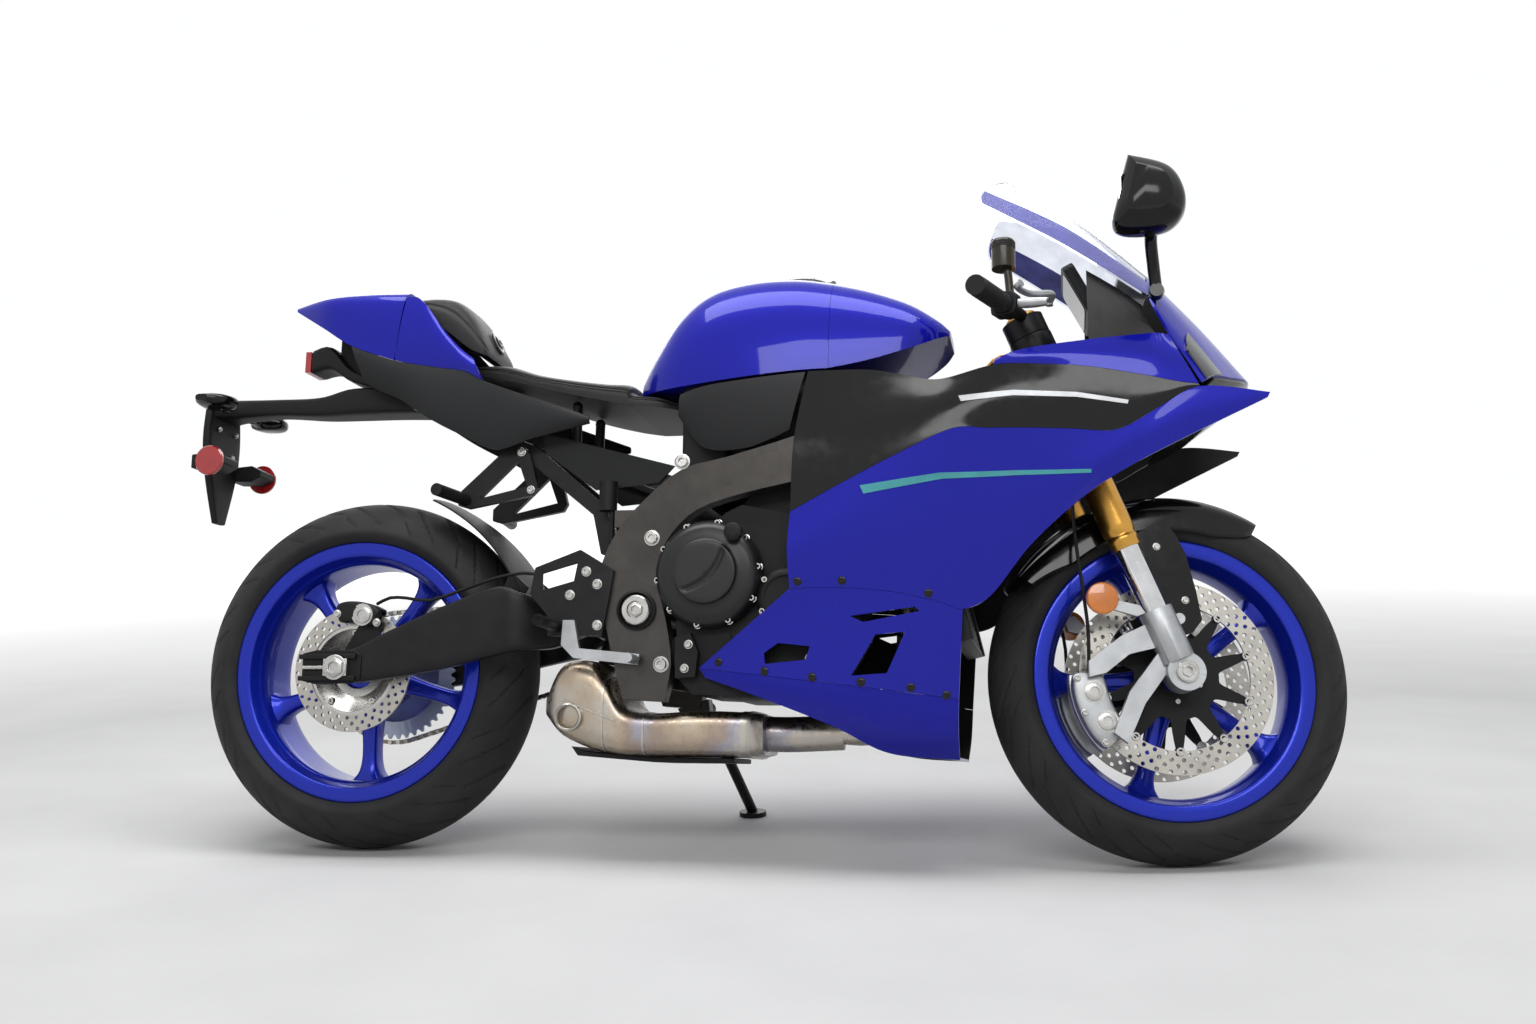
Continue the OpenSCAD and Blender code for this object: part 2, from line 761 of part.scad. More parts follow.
// Rear brake line: fluid bottle on its post, and a hand-laid hose from the caliper to the heel plate.
rear_hose_path = [
    [46, -104, 432], [74, -112, 442], [110, -124, 440], [160, -134, 434], [220, -136, 452], [280, -136, 472],
    [330, -138, 480], [366, -147.2, 474],
];
module rear_brake_line() {
    color("#57544a")
        union() {
            translate([470, -104, 592])
                cylinder(h = 52, r = 16, $fn = fine);
            translate([478, -104, 534.9])
                cylinder(h = 60, r = 5, $fn = fine);
            tube_path(rear_hose_path, 3, 2, 10, [0, 0, 1]);
        }
}

// Fairing: each row holds the points of one rib from the top edge down.
side_upper_rows = [
    [[812, 200, 568], [808, 206, 505], [812, 200, 441]],
    [[900, 214, 612], [896, 214, 530], [900, 206, 440]],
    [[990, 224, 655], [986, 220, 545], [985, 208, 432]],
    [[1080, 232, 693], [1068, 222, 555], [1060, 206, 415]],
    [[1140, 234, 692], [1118, 222, 550], [1094, 202, 404]],
    [[1200, 236, 690], [1170, 226, 560], [1140, 206, 426]],
    [[1270, 238, 686], [1236, 232, 596], [1200, 218, 500]],
    [[1340, 240, 682], [1302, 238, 622], [1265, 228, 560]],
    [[1400, 240, 712], [1365, 240, 660], [1330, 234, 607]],
    [[1470, 238, 748], [1446, 240, 702], [1420, 238, 655]],
    [[1576, 230, 737], [1574, 230, 733], [1572, 230, 729]],
];
side_lower_rows = [
    [[812, 200, 440.4], [655, 166, 313]],
    [[900, 206, 439.4], [760, 184, 300]],
    [[985, 208, 431.4], [900, 196, 284]],
    [[1060, 206, 414.4], [1000, 196, 272]],
    [[1094, 202, 403.4], [1086, 188, 261]],
    [[1140, 206, 425.4], [1140, 180, 250]],
];
belly_rows = [
    [[655, 166, 312.4], [660, 163, 304], [664, 160, 297]],
    [[760, 184, 299.4], [760, 180, 280], [760, 172, 264]],
    [[900, 196, 283.4], [890, 186, 246], [880, 160, 218]],
    [[1000, 196, 271.4], [985, 180, 214], [968, 130, 176]],
    [[1086, 188, 260.4], [1084, 172, 208], [1082, 112, 166]],
    [[1140, 180, 249.4], [1140, 160, 200], [1140, 100, 160]],
];
belly_floor = [
    [[968, 125.4, 176], [968, -125.4, 176]],
    [[1082, 107.4, 166], [1082, -107.4, 166]],
];
infill_tops = [
    [[835, 171, 814], [816, 196, 690]],
    [[935, 174, 812], [918, 204, 712]],
    [[1000, 188, 797], [995, 214, 726]],
    [[1060, 206, 783], [1070, 226, 738]],
    [[1150, 228, 798], [1145, 236, 745]],
    [[1230, 235, 794], [1215, 240, 742]],
    [[1300, 240, 786], [1285, 242, 736]],
    [[1380, 241, 770], [1360, 243, 728]],
    [[1430, 240, 758], [1416, 242, 738]],
    [[1468, 238, 752], [1469, 238, 750]],
    [[1570, 230, 742], [1573, 230, 740]],
];
// The infill's lower edge follows the painted panel's upper one.
infill_rows = [
    for (i = [0:len(infill_tops) - 1])
        concat(infill_tops[i], [side_upper_rows[i][0] + [0, 0, panel_gap]])
];
cowl_rows = [
    [[1090, 210, 790], [1075, 218, 786], [1060, 206, 783.5]],
    [[1152, 229, 808], [1150, 229, 803], [1150, 228, 798.5]],
    [[1200, 232, 822], [1216, 235, 809], [1230, 235, 794.5]],
    [[1300, 232, 833], [1300, 238, 811], [1300, 240, 786.5]],
    [[1390, 224, 841], [1386, 236, 808], [1380, 241, 770.5]],
    [[1412, 220, 842], [1422, 232, 802], [1430, 240, 758.5]],
    [[1425, 217, 840], [1446, 229, 798], [1468, 238, 752.5]],
];
nose_rows = [
    [[1411, 0, 988], [1492, 0, 895], [1568, 0, 800]],
    [[1404, 80, 978], [1482, 86, 888], [1556, 90, 792]],
    [[1398, 140, 958], [1466, 152, 868], [1526, 160, 780]],
    [[1402, 184, 912], [1452, 202, 836], [1496, 214, 770]],
    [[1430, 216, 840], [1453, 228, 800], [1475, 238, 757]],
];
chin_rows = [
    [[1566, 0, 793.6], [1480, 0, 738], [1420, 0, 716]],
    [[1554, 90, 785.6], [1480, 90, 736], [1420, 90, 714]],
    [[1524, 160, 773.6], [1466, 156, 732], [1414, 152, 712]],
    [[1494, 214, 763.6], [1450, 206, 728], [1410, 198, 710]],
    [[1473, 238, 750.6], [1440, 226, 726], [1410, 214, 708]],
];
screen_rows = [
    [[1184, 0, 1180], [1300, 0, 1092], [1411, 0, 988.6]],
    [[1170, 60, 1172], [1292, 68, 1086], [1404, 80, 978.6]],
    [[1140, 108, 1146], [1276, 122, 1066], [1398, 140, 958.6]],
    [[1130, 146, 1104], [1268, 168, 1014], [1402, 184, 912.6]],
    [[1190, 180, 1040], [1300, 200, 950], [1430, 216, 840.6]],
];
inner_rows = [
    [[1300, 160, 972], [1300, 200, 900], [1301, 227.6, 832]],
    [[1348, 166, 938], [1352, 196, 886], [1356, 223.1, 836]],
    [[1388, 172, 904], [1396, 196, 866], [1410, 215, 839]],
];
slope_wall = [-panel_wall, 0, -panel_wall] * 0.7;
function both_sides(rows) =
    concat([for (i = [len(rows) - 1:-1:1]) [for (p = rows[i]) [p[0], -p[1], p[2]]]], rows);
// Vents through the lower side panels: outlines in x and z.
vent_outlines = [
    [[770, 318], [838, 324], [846, 346], [792, 352], [768, 336]],
    [[954, 364], [1002, 368], [972, 302], [914, 298]],
    [[912, 394], [1018, 408], [1026, 401], [934, 384]],
];
module side_fairing() {
    color("#1c2f9c")
        union() {
            side_panel(side_upper_rows, 3, 3, 0, 10);
            difference() {
                side_panel(side_lower_rows, 3, 3, 0, 4);
                pair()
                    for (v = vent_outlines)
                        plate(v, 150, 260);
            }
        }
}
module belly_pan() {
    color("#1c2f9c")
        union() {
            side_panel(belly_rows, 3, 2, 0, 4);
            shell(belly_floor, moved(belly_floor, [0, 0, panel_wall]));
        }
}
module side_infill() {
    color("#101012")
        union() {
            side_panel(infill_rows, 3, 3, 0, 9);
            pair()
                cross_rod(850, 668, 178.5, 200, 6);
        }
}
module upper_cowl() {
    color("#1c2f9c")
        side_panel(cowl_rows, 3, 2, 1, 6);
}
module nose() {
    color("#1c2f9c")
        let (face = fine_grid(both_sides(nose_rows), 3, 3))
            shell(face, moved(face, slope_wall));
}
// Lamps: a slot each side of the nose, laid on its skin, and a lens under it.
lamp_lift = [0.6, 0.5, 0.6];
module headlamps() {
    color([0.9, 0.92, 0.95])
        union() {
            for (side = [-1, 1])
                let (
                    face = fine_grid(both_sides(nose_rows), 3, 3),
                    patch = [for (i = [20:23]) [for (j = [3:6]) face[i][j]]]
                )
                shell(mirrored(moved(patch, lamp_lift * 4), side), mirrored(moved(patch, lamp_lift * 0.7), side));
        }
}
module chin() {
    color("#101012")
        let (face = kept(fine_grid(both_sides(chin_rows), 3, 2), 3, 1, 7))
            shell(face, moved(face, [-1, 0, 3]));
}
module windscreen() {
    color([0.7, 0.75, 0.9, 0.4])
        let (face = kept(fine_grid(both_sides(screen_rows), 3, 3), 3, 1, 7))
            shell(face, moved(face, slope_wall));
}
module inner_cowl() {
    color("#141415")
        side_panel(inner_rows, 2, 2, 0, 2);
}
// Stay from the steering head to the nose, with an arm for the dash.
dash_place = [1290, 0, 970];
dash_tilt = -28;
module fairing_stay() {
    color("#202022")
        union() {
            plate([[1236.9, 756], [1223.6, 788], [1370, 860], [1400, 862], [1400, 836], [1296, 770]], -32, 32);
            plate([[1334, 836], [1318, 886], [1330, 904], [1346, 896], [1356, 850]], -20, 20);
            translate(dash_place)
                rotate([0, dash_tilt, 0])
                    translate([-7, -20, -86])
                        cube([14, 40, 35.6]);
            rod([1390, 0, 850], [1482.5, 0, 886.4], 8);
            translate([1481.8, 0, 885.8])
                sphere(r = 9, $fn = fine);
        }
}
module dash() {
    color("#0c0c0e")
        translate(dash_place)
            rotate([0, dash_tilt, 0])
                translate([-10, -85, -50])
                    cube([20, 170, 100]);
}
mirror_foot = [1410.6, 191.8, 919.3];
// Mirror head: outline in x and z, then columns y and share of that outline.
mirror_mid = [1398, 1040];
mirror_outline = [[-34, 66], [28, 44], [52, 4], [48, -36], [14, -58], [-54, -52], [-48, 10]];
mirror_rows = [
    [254, 0.5],
    [262, 0.82],
    [290, 1],
    [325, 0.96],
    [346, 0.6],
];
mirror_ring = smooth(concat(mirror_outline, [mirror_outline[0]]), 3);
module mirrors() {
    color("#0c0c0e")
        for (side = [-1, 1])
            union() {
                skin([
                    for (r = smooth(mirror_rows, 2))
                        [
                            for (k = [0:len(mirror_ring) - 2])
                                let (q = mirror_mid + mirror_ring[k] * r[1])
                                [q[0], side * r[0], q[1]]
                        ]
                ]);
                tube_path([[mirror_foot[0], side * mirror_foot[1], mirror_foot[2]], [1406, side * 206, 960],
                    [1402, side * 232, 996], [1406, side * 268, 1010]], 10, 3, 10, [1, 0, 0]);
                translate([mirror_foot[0], side * mirror_foot[1], mirror_foot[2]])
                    sphere(r = 13, $fn = fine);
            }
}

// Front end, drawn straight ahead.
slider_low = 27;
slider_top = 244;
tube_low = 221;
tube_top = 656;
module fork_tubes() {
    color("#c8922e")
        fork_frame()
            for (side = [-1, 1])
                translate([0, side * fork_half, 0])
                    difference() {
                        translate([0, 0, tube_low])
                            cylinder(h = tube_top - tube_low, r = tube_r, $fn = fine);
                        translate([0, 0, tube_low - 1])
                            cylinder(h = slider_top - tube_low + 2, r = slider_r + run_gap, $fn = fine);
                    }
}
module fork_sliders() {
    color("#d8d8d8")
        fork_frame()
            for (side = [-1, 1])
                translate([0, side * fork_half, slider_low])
                    cylinder(h = slider_top - slider_low, r = slider_r, $fn = fine);
}
// Cast feet: sleeve on the slider, axle boss and two arms to the caliper.
module fork_feet() {
    color("#b4b5b8")
        fork_frame()
            difference() {
                union()
                    for (side = [-1, 1]) {
                        translate([0, side * fork_half, 22])
                            cylinder(h = 88, r = 28, $fn = fine);
                        translate([0, side * fork_half - 20, 0])
                            rotate([-90, 0, 0])
                                cylinder(h = 40, r = 31, $fn = fine);
                        y0 = side > 0 ? 98.4 : -110;
                        plate([[0, 96], [-70, 92], [-136, 74], [-146, 50], [-118, 46], [-70, 60], [0, 50]], y0, y0 + 11.6);
                        plate([[0, 26], [-80, -22], [-132, -70], [-146, -46], [-96, 4], [0, 60]], y0, y0 + 11.6);
                        translate([34, side > 0 ? 75.2 : -100, 84])
                            rotate([-90, 0, 0])
                                cylinder(h = 24.8, r = 9, $fn = fine);
                    }
                for (side = [-1, 1])
                    translate([0, side * fork_half, slider_low - 0.5])
                        cylinder(h = 200, r = slider_r + run_gap, $fn = fine);
                translate([0, -200, 0])
                    rotate([-90, 0, 0])
                        cylinder(h = 400, r = front_axle_r + run_gap, $fn = fine);
            }
}
module front_axle() {
    color("#9a9a9a")
        difference() {
            union() {
                cross_rod(wheelbase, front_r, -128, 128, front_axle_r);
                pair() {
                    cross_rod(wheelbase, front_r, 52.3, 84.6, 19);
                    cross_rod(wheelbase, front_r, 125.4, 131, 18);
                }
            }
            cross_rod(wheelbase, front_r, -200, 200, front_axle_bore);
        }
}
module front_calipers() {
    color("#a9abad")
        fork_frame()
            for (side = [-1, 1])
                difference() {
                    translate([0, side > 0 ? 98 : -32, 0])
                        rotate([90, 0, 0])
                            rotate([0, 0, 158])
                                rotate_extrude(angle = 44, $fn = fine)
                                    translate([124, 0])
                                        square([56, 66]);
                    translate([0, side > 0 ? 67 : -57, 0])
                        rotate([90, 0, 0])
                            cylinder(h = 10, r = front_disc_r + 4, $fn = fine);
                }
}
// Front brake hoses, in the fork's frame: from the lower clamp to the caliper's end.
front_hose_path = [
    [-24, 70, 387.4], [-34, 74, 350], [-58, 92, 300], [-80, 104, 240], [-96, 100, 180], [-112, 90, 120],
    [-137, 87, 61.5],
];
module brake_hoses() {
    color("#141414")
        fork_frame()
            pair()
                tube_path(front_hose_path, 3, 3, 10, [0, 1, 0]);
}
// Round reflectors, each on a flat arm from the fork's foot.
module fork_reflectors() {
    color("#d06a10")
        fork_frame()
            pair() {
                translate([-78, 121, 158])
                    rotate([-90, 0, 0])
                        cylinder(h = 9, r = 26, $fn = fine);
                plate([[-20.5, 110.3], [-36, 110.3], [-88, 150], [-86, 172], [-66, 172], [-56, 148], [-24, 126]], 115, 122);
            }
}
clamp_low = 388;
clamp_top = 586;
module clamp_plate(z, h) {
    difference() {
        translate([0, 0, z])
            linear_extrude(height = h)
                union() {
                    for (side = [-1, 1])
                        translate([0, side * fork_half])
                            circle(r = tube_r + 10, $fn = fine);
                    polygon([[20, -fork_half], [20, fork_half], [-20, fork_half], [-62, 30], [-62, -30], [-20, -fork_half]]);
                }
        for (side = [-1, 1])
            translate([0, side * fork_half, z - 1])
                cylinder(h = h + 2, r = tube_r + run_gap, $fn = fine);
    }
}
module triple_clamps() {
    color("#1c1c1e")
        fork_frame()
            union() {
                clamp_plate(clamp_low, 40);
                clamp_plate(clamp_top, 26);
                translate([-fork_offset, 0, clamp_low + 4])
                    cylinder(h = clamp_top - clamp_low + 34, r = stem_r, $fn = fine);
            }
}
// Handlebars: inner and outer ends of the left bar; the right one mirrors it.
function fork_point(p) =
    [wheelbase + p[0] * cos(rake) - p[2] * sin(rake), p[1], front_r + p[0] * sin(rake) + p[2] * cos(rake)];
bar_in = fork_point([-1, 126, 648]);
bar_out = fork_point([-118, 330, 664]);
function bar_point(t) = bar_in + (bar_out - bar_in) * t;
module handlebars() {
    color("#1c1c1e")
        union()
            pair() {
                fork_frame()
                    translate([0, fork_half, 614])
                        difference() {
                            cylinder(h = 34, r = tube_r + 9, $fn = fine);
                            translate([0, 0, -1])
                                cylinder(h = 36, r = tube_r + run_gap, $fn = fine);
                        }
                rod(bar_point(0.07), bar_point(0.5), 11);
                rod(bar_point(0.3), bar_point(0.46), 20);
            }
}
module grips() {
    color("#101010")
        pair()
            difference() {
                rod(bar_point(0.465), bar_point(1), 17);
                rod(bar_point(0.4), bar_point(0.51), 11 + run_gap);
            }
}
// Levers and the front brake's reservoir, which stands over the right bar's clamp.
cup_seat = [bar_point(0.38)[0], -bar_point(0.38)[1], bar_point(0.38)[2]];
module bar_controls() {
    color("#b0b1b3")
        union() {
            pair() {
                rod(bar_point(0.38) + [18.7, 9.9, 0], bar_point(0.38) + [70, 30, -2], 8);
                rod(bar_point(0.38) + [66, 28, -2], bar_point(0.92) + [58, 30, -6], 6);
            }
        }
}
module brake_reservoir() {
    color("#57544a")
        union() {
            translate(cup_seat + [-3, 0, 64])
                cylinder(h = 50, r = 20, $fn = fine);
            tube_path([cup_seat + [7, 0, 21.6], cup_seat + [5, 0, 48], cup_seat + [2, 0, 74]], 7, 1, 10, [1, 0, 0]);
        }
}
module front_fender() {
    color("#141415")
        union() {
            translate([wheelbase, 0, front_r])
                rotate([90, 0, 0])
                    rotate([0, 0, 60])
                        rotate_extrude(angle = 88, $fn = fine)
                            polygon([[250, -74.8], [290, -70], [308, -50], [316, 0], [308, 50], [290, 70], [250, 74.8],
                                [250, 71], [288, 66], [304, 47], [312, 0], [304, -47], [288, -66], [250, -71]]);
            fork_frame()
                pair()
                    plate([[20, 240], [90, 250], [98, 180], [76, 70], [52, 56], [20, 60]], 71, 74.8);
        }
}

// Wheels: ring sections about the axle, columns radius and place along the axle.
function crown(mid, r, limit, step) = [for (a = [-limit:step:limit]) [mid + r * cos(a), r * sin(a)]];
// Seat of the tyre's bead, and where the crown's arc ends: a share of the way up from the flange.
seat_r = flange_r - 14;
function crown_limit(radius, crown_r, share) =
    acos((flange_r + share * (radius - flange_r) - radius + crown_r) / crown_r);
function tyre_outline(radius, crown_r, bead, limit) =
    let (toe = seat_r + 0.4)
    concat(
        [[toe, bead - 11], [toe, bead - seat_gap], [flange_r + 1, bead - seat_gap], [flange_r + 4, bead + 5]],
        [for (p = crown(radius - crown_r, crown_r, limit, limit / 7)) [p[0], -p[1]]],
        [[flange_r + 4, -bead - 5], [flange_r + 1, -bead + seat_gap], [toe, -bead + seat_gap], [toe, -bead + 11]],
        crown(radius - crown_r, crown_r - 12, limit - 8, limit / 4)
    );
module tyre(radius, crown_r, bead, share) {
    rotate([90, 0, 0])
        rotate_extrude($fn = 96)
            polygon(tyre_outline(radius, crown_r, bead, crown_limit(radius, crown_r, share)));
}
module rim(bead, hub_r, hub_half, bore_r, spoke_half, phase) {
    lip = seat_r - 12;
    well = seat_r - 14;
    difference() {
        union() {
            rotate([90, 0, 0])
                rotate_extrude($fn = 96)
                    polygon([[lip, -bead - 7], [flange_r, -bead - 7], [flange_r, -bead], [seat_r, -bead],
                        [seat_r - 1, -bead + 12], [well, -bead + 22], [well, bead - 22], [seat_r - 1, bead - 12],
                        [seat_r, bead], [flange_r, bead], [flange_r, bead + 7], [lip, bead + 7], [lip, bead],
                        [well - 10, bead - 20], [well - 10, -bead + 20], [lip, -bead]]);
            rotate([90, 0, 0])
                cylinder(h = 2 * hub_half, r = hub_r, center = true, $fn = fine);
            for (k = [0:spokes - 1])
                rotate([0, -phase - k * 360 / spokes, 0])
                    plate([[hub_r - 8, -24], [hub_r + 30, -17], [well - 54, -15], [well - 24, -19], [well - 6, -34],
                        [well - 6, 34], [well - 24, 19], [well - 54, 15], [hub_r + 30, 17], [hub_r - 8, 24]],
                        -spoke_half, spoke_half);
        }
        rotate([90, 0, 0])
            cylinder(h = 300, r = bore_r, center = true, $fn = fine);
    }
}
module front_tyre() {
    color("#1a1a1a")
        translate([wheelbase, 0, front_r])
            tyre(front_r, front_crown, front_bead, 0.37);
}
module front_rim() {
    color("#1f3fae")
        translate([wheelbase, 0, front_r])
            rim(front_bead, 42, 52, front_axle_r + run_gap, 20, 254);
}
module front_discs() {
    color("#9b948a")
        translate([wheelbase, 0, front_r])
            pair()
                rotate([90, 0, 0])
                    rotate_extrude($fn = 96)
                        polygon([[26, -60], [60, -60], [120, -62], [131, -64.5], [front_disc_r, -64.5],
                            [front_disc_r, -59.5], [131, -59.5], [120, -57], [60, -52.3], [26, -52.3]]);
}
module rear_tyre() {
    color("#1a1a1a")
        translate([0, 0, rear_r])
            tyre(rear_r, rear_crown, rear_bead, 0.284);
}
module rear_rim() {
    color("#1f3fae")
        translate([0, 0, rear_r])
            rim(rear_bead, 54, 62, rear_axle_r + run_gap, 24, 272);
}
module rear_disc() {
    color("#9b948a")
        translate([0, 0, rear_r])
            rotate([90, 0, 0])
                rotate_extrude($fn = 96)
                    polygon([[32, 62.3], [50, 62.3], [76, 86], [80, 88], [rear_disc_r, 88], [rear_disc_r, 93],
                        [78, 93], [70, 88], [46, 68], [32, 68]]);
}
module rear_sprocket() {
    color("#7a7460")
        translate([0, 0, rear_r])
            rotate([90, 0, 0])
                rotate_extrude($fn = 96)
                    polygon([[32, -62.3], [60, -62.3], [84, -98], [chain_rear - 1.5, -98], [chain_rear - 1.5, -104],
                        [78, -104], [50, -72], [32, -72]]);
}

// Side stand: eye on the hinge, bent leg and a foot flat on the road.
module side_stand() {
    color("#262628")
        union() {
            rod(stand_pivot - stand_hinge * 11.7, stand_pivot + stand_hinge * 11.7, 15);
            tube_path([stand_pivot, stand_pivot * 0.5 + stand_foot * 0.5 + [0, 4, 2], stand_foot + road_up * 8],
                10, 3, 12, [1, 0, 0]);
            rod(stand_foot, stand_foot + road_up * 9, 26);
        }
}

parked() frame();
parked() subframe();
parked() swingarm();
parked() pivot_shaft();
parked() rear_axle();
parked() engine();
parked() engine_covers();
parked() silencer();
parked() headers();
parked() radiator();
parked() fuel_tank();
parked() tank_cover();
parked() knee_panels();
parked() rider_seat();
parked() pillion_seat();
parked() tail_cowl();
parked() tail_sides();
parked() plate_arm();
parked() rear_lamps();
parked() hugger();
parked() rear_shock();
parked() footrests();
parked() foot_controls();
parked() rear_caliper();
parked() chain();
parked() rear_brake_line();
parked() headlamps();
parked() side_fairing();
parked() belly_pan();
parked() side_infill();
parked() upper_cowl();
parked() nose();
parked() chin();
parked() windscreen();
parked() inner_cowl();
parked() fairing_stay();
parked() dash();
parked() mirrors();
parked() steered() triple_clamps();
parked() steered() fork_tubes();
parked() steered() fork_sliders();
parked() steered() fork_feet();
parked() steered() front_axle();
parked() steered() front_calipers();
parked() steered() brake_hoses();
parked() steered() fork_reflectors();
parked() steered() handlebars();
parked() steered() grips();
parked() steered() bar_controls();
parked() steered() brake_reservoir();
parked() steered() front_fender();
parked() steered() front_rim();
parked() steered() front_tyre();
parked() steered() front_discs();
parked() rear_rim();
parked() rear_tyre();
parked() rear_disc();
parked() rear_sprocket();
parked() side_stand();
parked() filler_lid();
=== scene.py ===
"""Parked sport motorcycle: fine surfaces, finishes, floor, light and camera."""

import json
import logging
import math
from dataclasses import dataclass, field
from enum import Enum
from typing import Callable, Sequence

import bpy
import numpy as np
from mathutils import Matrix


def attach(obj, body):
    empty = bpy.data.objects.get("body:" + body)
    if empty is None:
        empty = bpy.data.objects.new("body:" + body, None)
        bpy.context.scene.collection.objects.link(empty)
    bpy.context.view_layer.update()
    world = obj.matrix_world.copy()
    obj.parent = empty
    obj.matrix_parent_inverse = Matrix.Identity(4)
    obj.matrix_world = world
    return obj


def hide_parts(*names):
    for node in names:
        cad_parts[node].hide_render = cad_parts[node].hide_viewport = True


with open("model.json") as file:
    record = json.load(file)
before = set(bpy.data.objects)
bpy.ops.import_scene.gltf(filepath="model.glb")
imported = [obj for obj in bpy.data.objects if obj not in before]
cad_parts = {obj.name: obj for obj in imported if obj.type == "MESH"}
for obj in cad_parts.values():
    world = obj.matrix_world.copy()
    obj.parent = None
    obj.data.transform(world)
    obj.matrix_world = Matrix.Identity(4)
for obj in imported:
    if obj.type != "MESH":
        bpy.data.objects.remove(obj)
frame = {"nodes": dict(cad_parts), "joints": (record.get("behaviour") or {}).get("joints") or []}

LOG = logging.getLogger("motorcycle")
Array = np.ndarray
Rows = tuple
Move = Callable[[Array], Array]

MM = 1000.0  # millimetres in a metre
MIRROR = np.array([1.0, -1.0, 1.0])  # takes a place to the machine's other side
UPRIGHT = (0, 2, 1)  # order of axes that stands a turned piece up
AHEAD = (1, 2, 0)  # order of axes that points a turned piece forward
RIB_STEPS = 10  # fine steps between the ribs of a panel


class Body(Enum):
    """Moving groups that carry a piece of this scene, by their names in the frame."""

    CHASSIS = "chassis"
    STEERING = "steering"
    FRONT_WHEEL = "front_wheel"
    REAR_WHEEL = "rear_wheel"
    LID = "filler_lid"


@dataclass(frozen=True)
class Stance:
    """How the upright drawing is steered, leaned and set down on the road.

    Drawings are in millimetres: x forward from the rear axle, y to the left, z up from the road.
    """

    wheelbase: float = 1420.0
    rake: float = math.radians(22.6)
    trail: float = 94.0
    lean: float = math.radians(11.0)
    pitch: float = math.radians(0.1463)
    steer: float = math.radians(13.0)
    rear_r: float = 315.0
    front_r: float = 300.0

    def axis(self) -> Array:
        """Return the steering axis as a unit vector, pointing up and back."""
        return np.array([-math.sin(self.rake), 0.0, math.cos(self.rake)])

    def steered(self, points: Array) -> Array:
        """Turn points about the steering axis: Rodrigues' formula about the axis through the road.

        Args:
            points: Places in the upright frame, straight ahead.

        Returns:
            The same places with the fork turned to where it rests.
        """
        axis = self.axis()
        foot = np.array([self.wheelbase + self.trail, 0.0, 0.0])
        arm = points - foot
        along = (arm @ axis)[..., None] * axis
        cos, sin = math.cos(self.steer), math.sin(self.steer)
        return foot + arm * cos + np.cross(axis, arm) * sin + along * (1 - cos)

    def turned(self, vectors: Array) -> Array:
        """Lean and pitch directions: y' = y cos + z sin, z' = z cos - y sin, then the same about y.

        Args:
            vectors: Directions or places in the upright frame.

        Returns:
            The directions in the row frame.
        """
        x, y, z = np.moveaxis(np.asarray(vectors, float), -1, 0)
        cos, sin = math.cos(self.lean), math.sin(self.lean)
        y, z = y * cos + z * sin, z * cos - y * sin
        cos, sin = math.cos(self.pitch), math.sin(self.pitch)
        return np.stack([x * cos + z * sin, y, z * cos - x * sin], -1)

    def world(self, points: Array, steered: bool = False) -> Array:
        """Set points down on the road, in metres, so that the rear axle meets its joint.

        Args:
            points: Places in the upright frame, in millimetres.
            steered: Whether the places belong to the fork.

        Returns:
            Places in the row frame, in metres.
        """
        points = np.asarray(points, float)
        if steered:
            points = self.steered(points)
        joint = next(j for j in frame["joints"] if j["name"] == "rear_wheel_spin")
        axle = self.turned(np.array([0.0, 0.0, self.rear_r])) / MM
        return self.turned(points) / MM - axle + np.array(joint["pos_m"])


STANCE = Stance()
REAR_HUB = (0.0, STANCE.rear_r)
FRONT_HUB = (STANCE.wheelbase, STANCE.front_r)


@dataclass
class Surface:
    """A mesh in the upright frame: points, four-sided faces and end faces."""

    points: Array
    quads: Array
    ends: list = field(default_factory=list)
    tags: Array | None = None

    def marks(self) -> Array:
        """Return each four-sided face's finish number, 0 outside and 1 on a lining."""
        return np.zeros(len(self.quads), int) if self.tags is None else self.tags

    def volume(self) -> float:
        """Sum a . (b x c) over the triangles.

        Returns:
            Six times the signed volume.
        """
        p, q = self.points - self.points.mean(0), self.quads
        total = 0.0
        for a, b, c in ((0, 1, 2), (0, 2, 3)):
            total += float(np.einsum("ij,ij->", p[q[:, a]], np.cross(p[q[:, b]], p[q[:, c]])))
        for end in self.ends:
            e = p[np.array(end)]
            total += float((np.cross(e[1:-1], e[2:]) @ e[0]).sum())
        return total

    def flipped(self) -> "Surface":
        """Return the surface with every face turned over."""
        return Surface(self.points, self.quads[:, ::-1], [e[::-1] for e in self.ends], self.tags)

    def outward(self) -> "Surface":
        """Return the closed surface with its faces pointing out."""
        return self.flipped() if self.volume() < 0 else self

    def moved(self, change: Move) -> "Surface":
        """Return the surface with its points passed through a function, facing outwards."""
        return Surface(change(self.points), self.quads, self.ends, self.tags).outward()

    def mirrored(self) -> "Surface":
        """Return the same piece on the machine's other side."""
        return Surface(self.points * MIRROR, self.quads, self.ends, self.tags).flipped()

    def pair(self) -> "Surface":
        """Return the piece together with its mirror image."""
        return joined([self, self.mirrored()])


def joined(parts: Sequence[Surface]) -> Surface:
    """Put several surfaces into one mesh.

    Args:
        parts: Surfaces to join.

    Returns:
        One surface with all points and faces.
    """
    starts = np.cumsum([0] + [len(p.points) for p in parts[:-1]])
    return Surface(
        np.concatenate([p.points for p in parts]),
        np.concatenate([p.quads.reshape(-1, 4) + s for p, s in zip(parts, starts)]),
        [[int(i + s) for i in e] for p, s in zip(parts, starts) for e in p.ends],
        np.concatenate([p.marks() for p in parts]),
    )


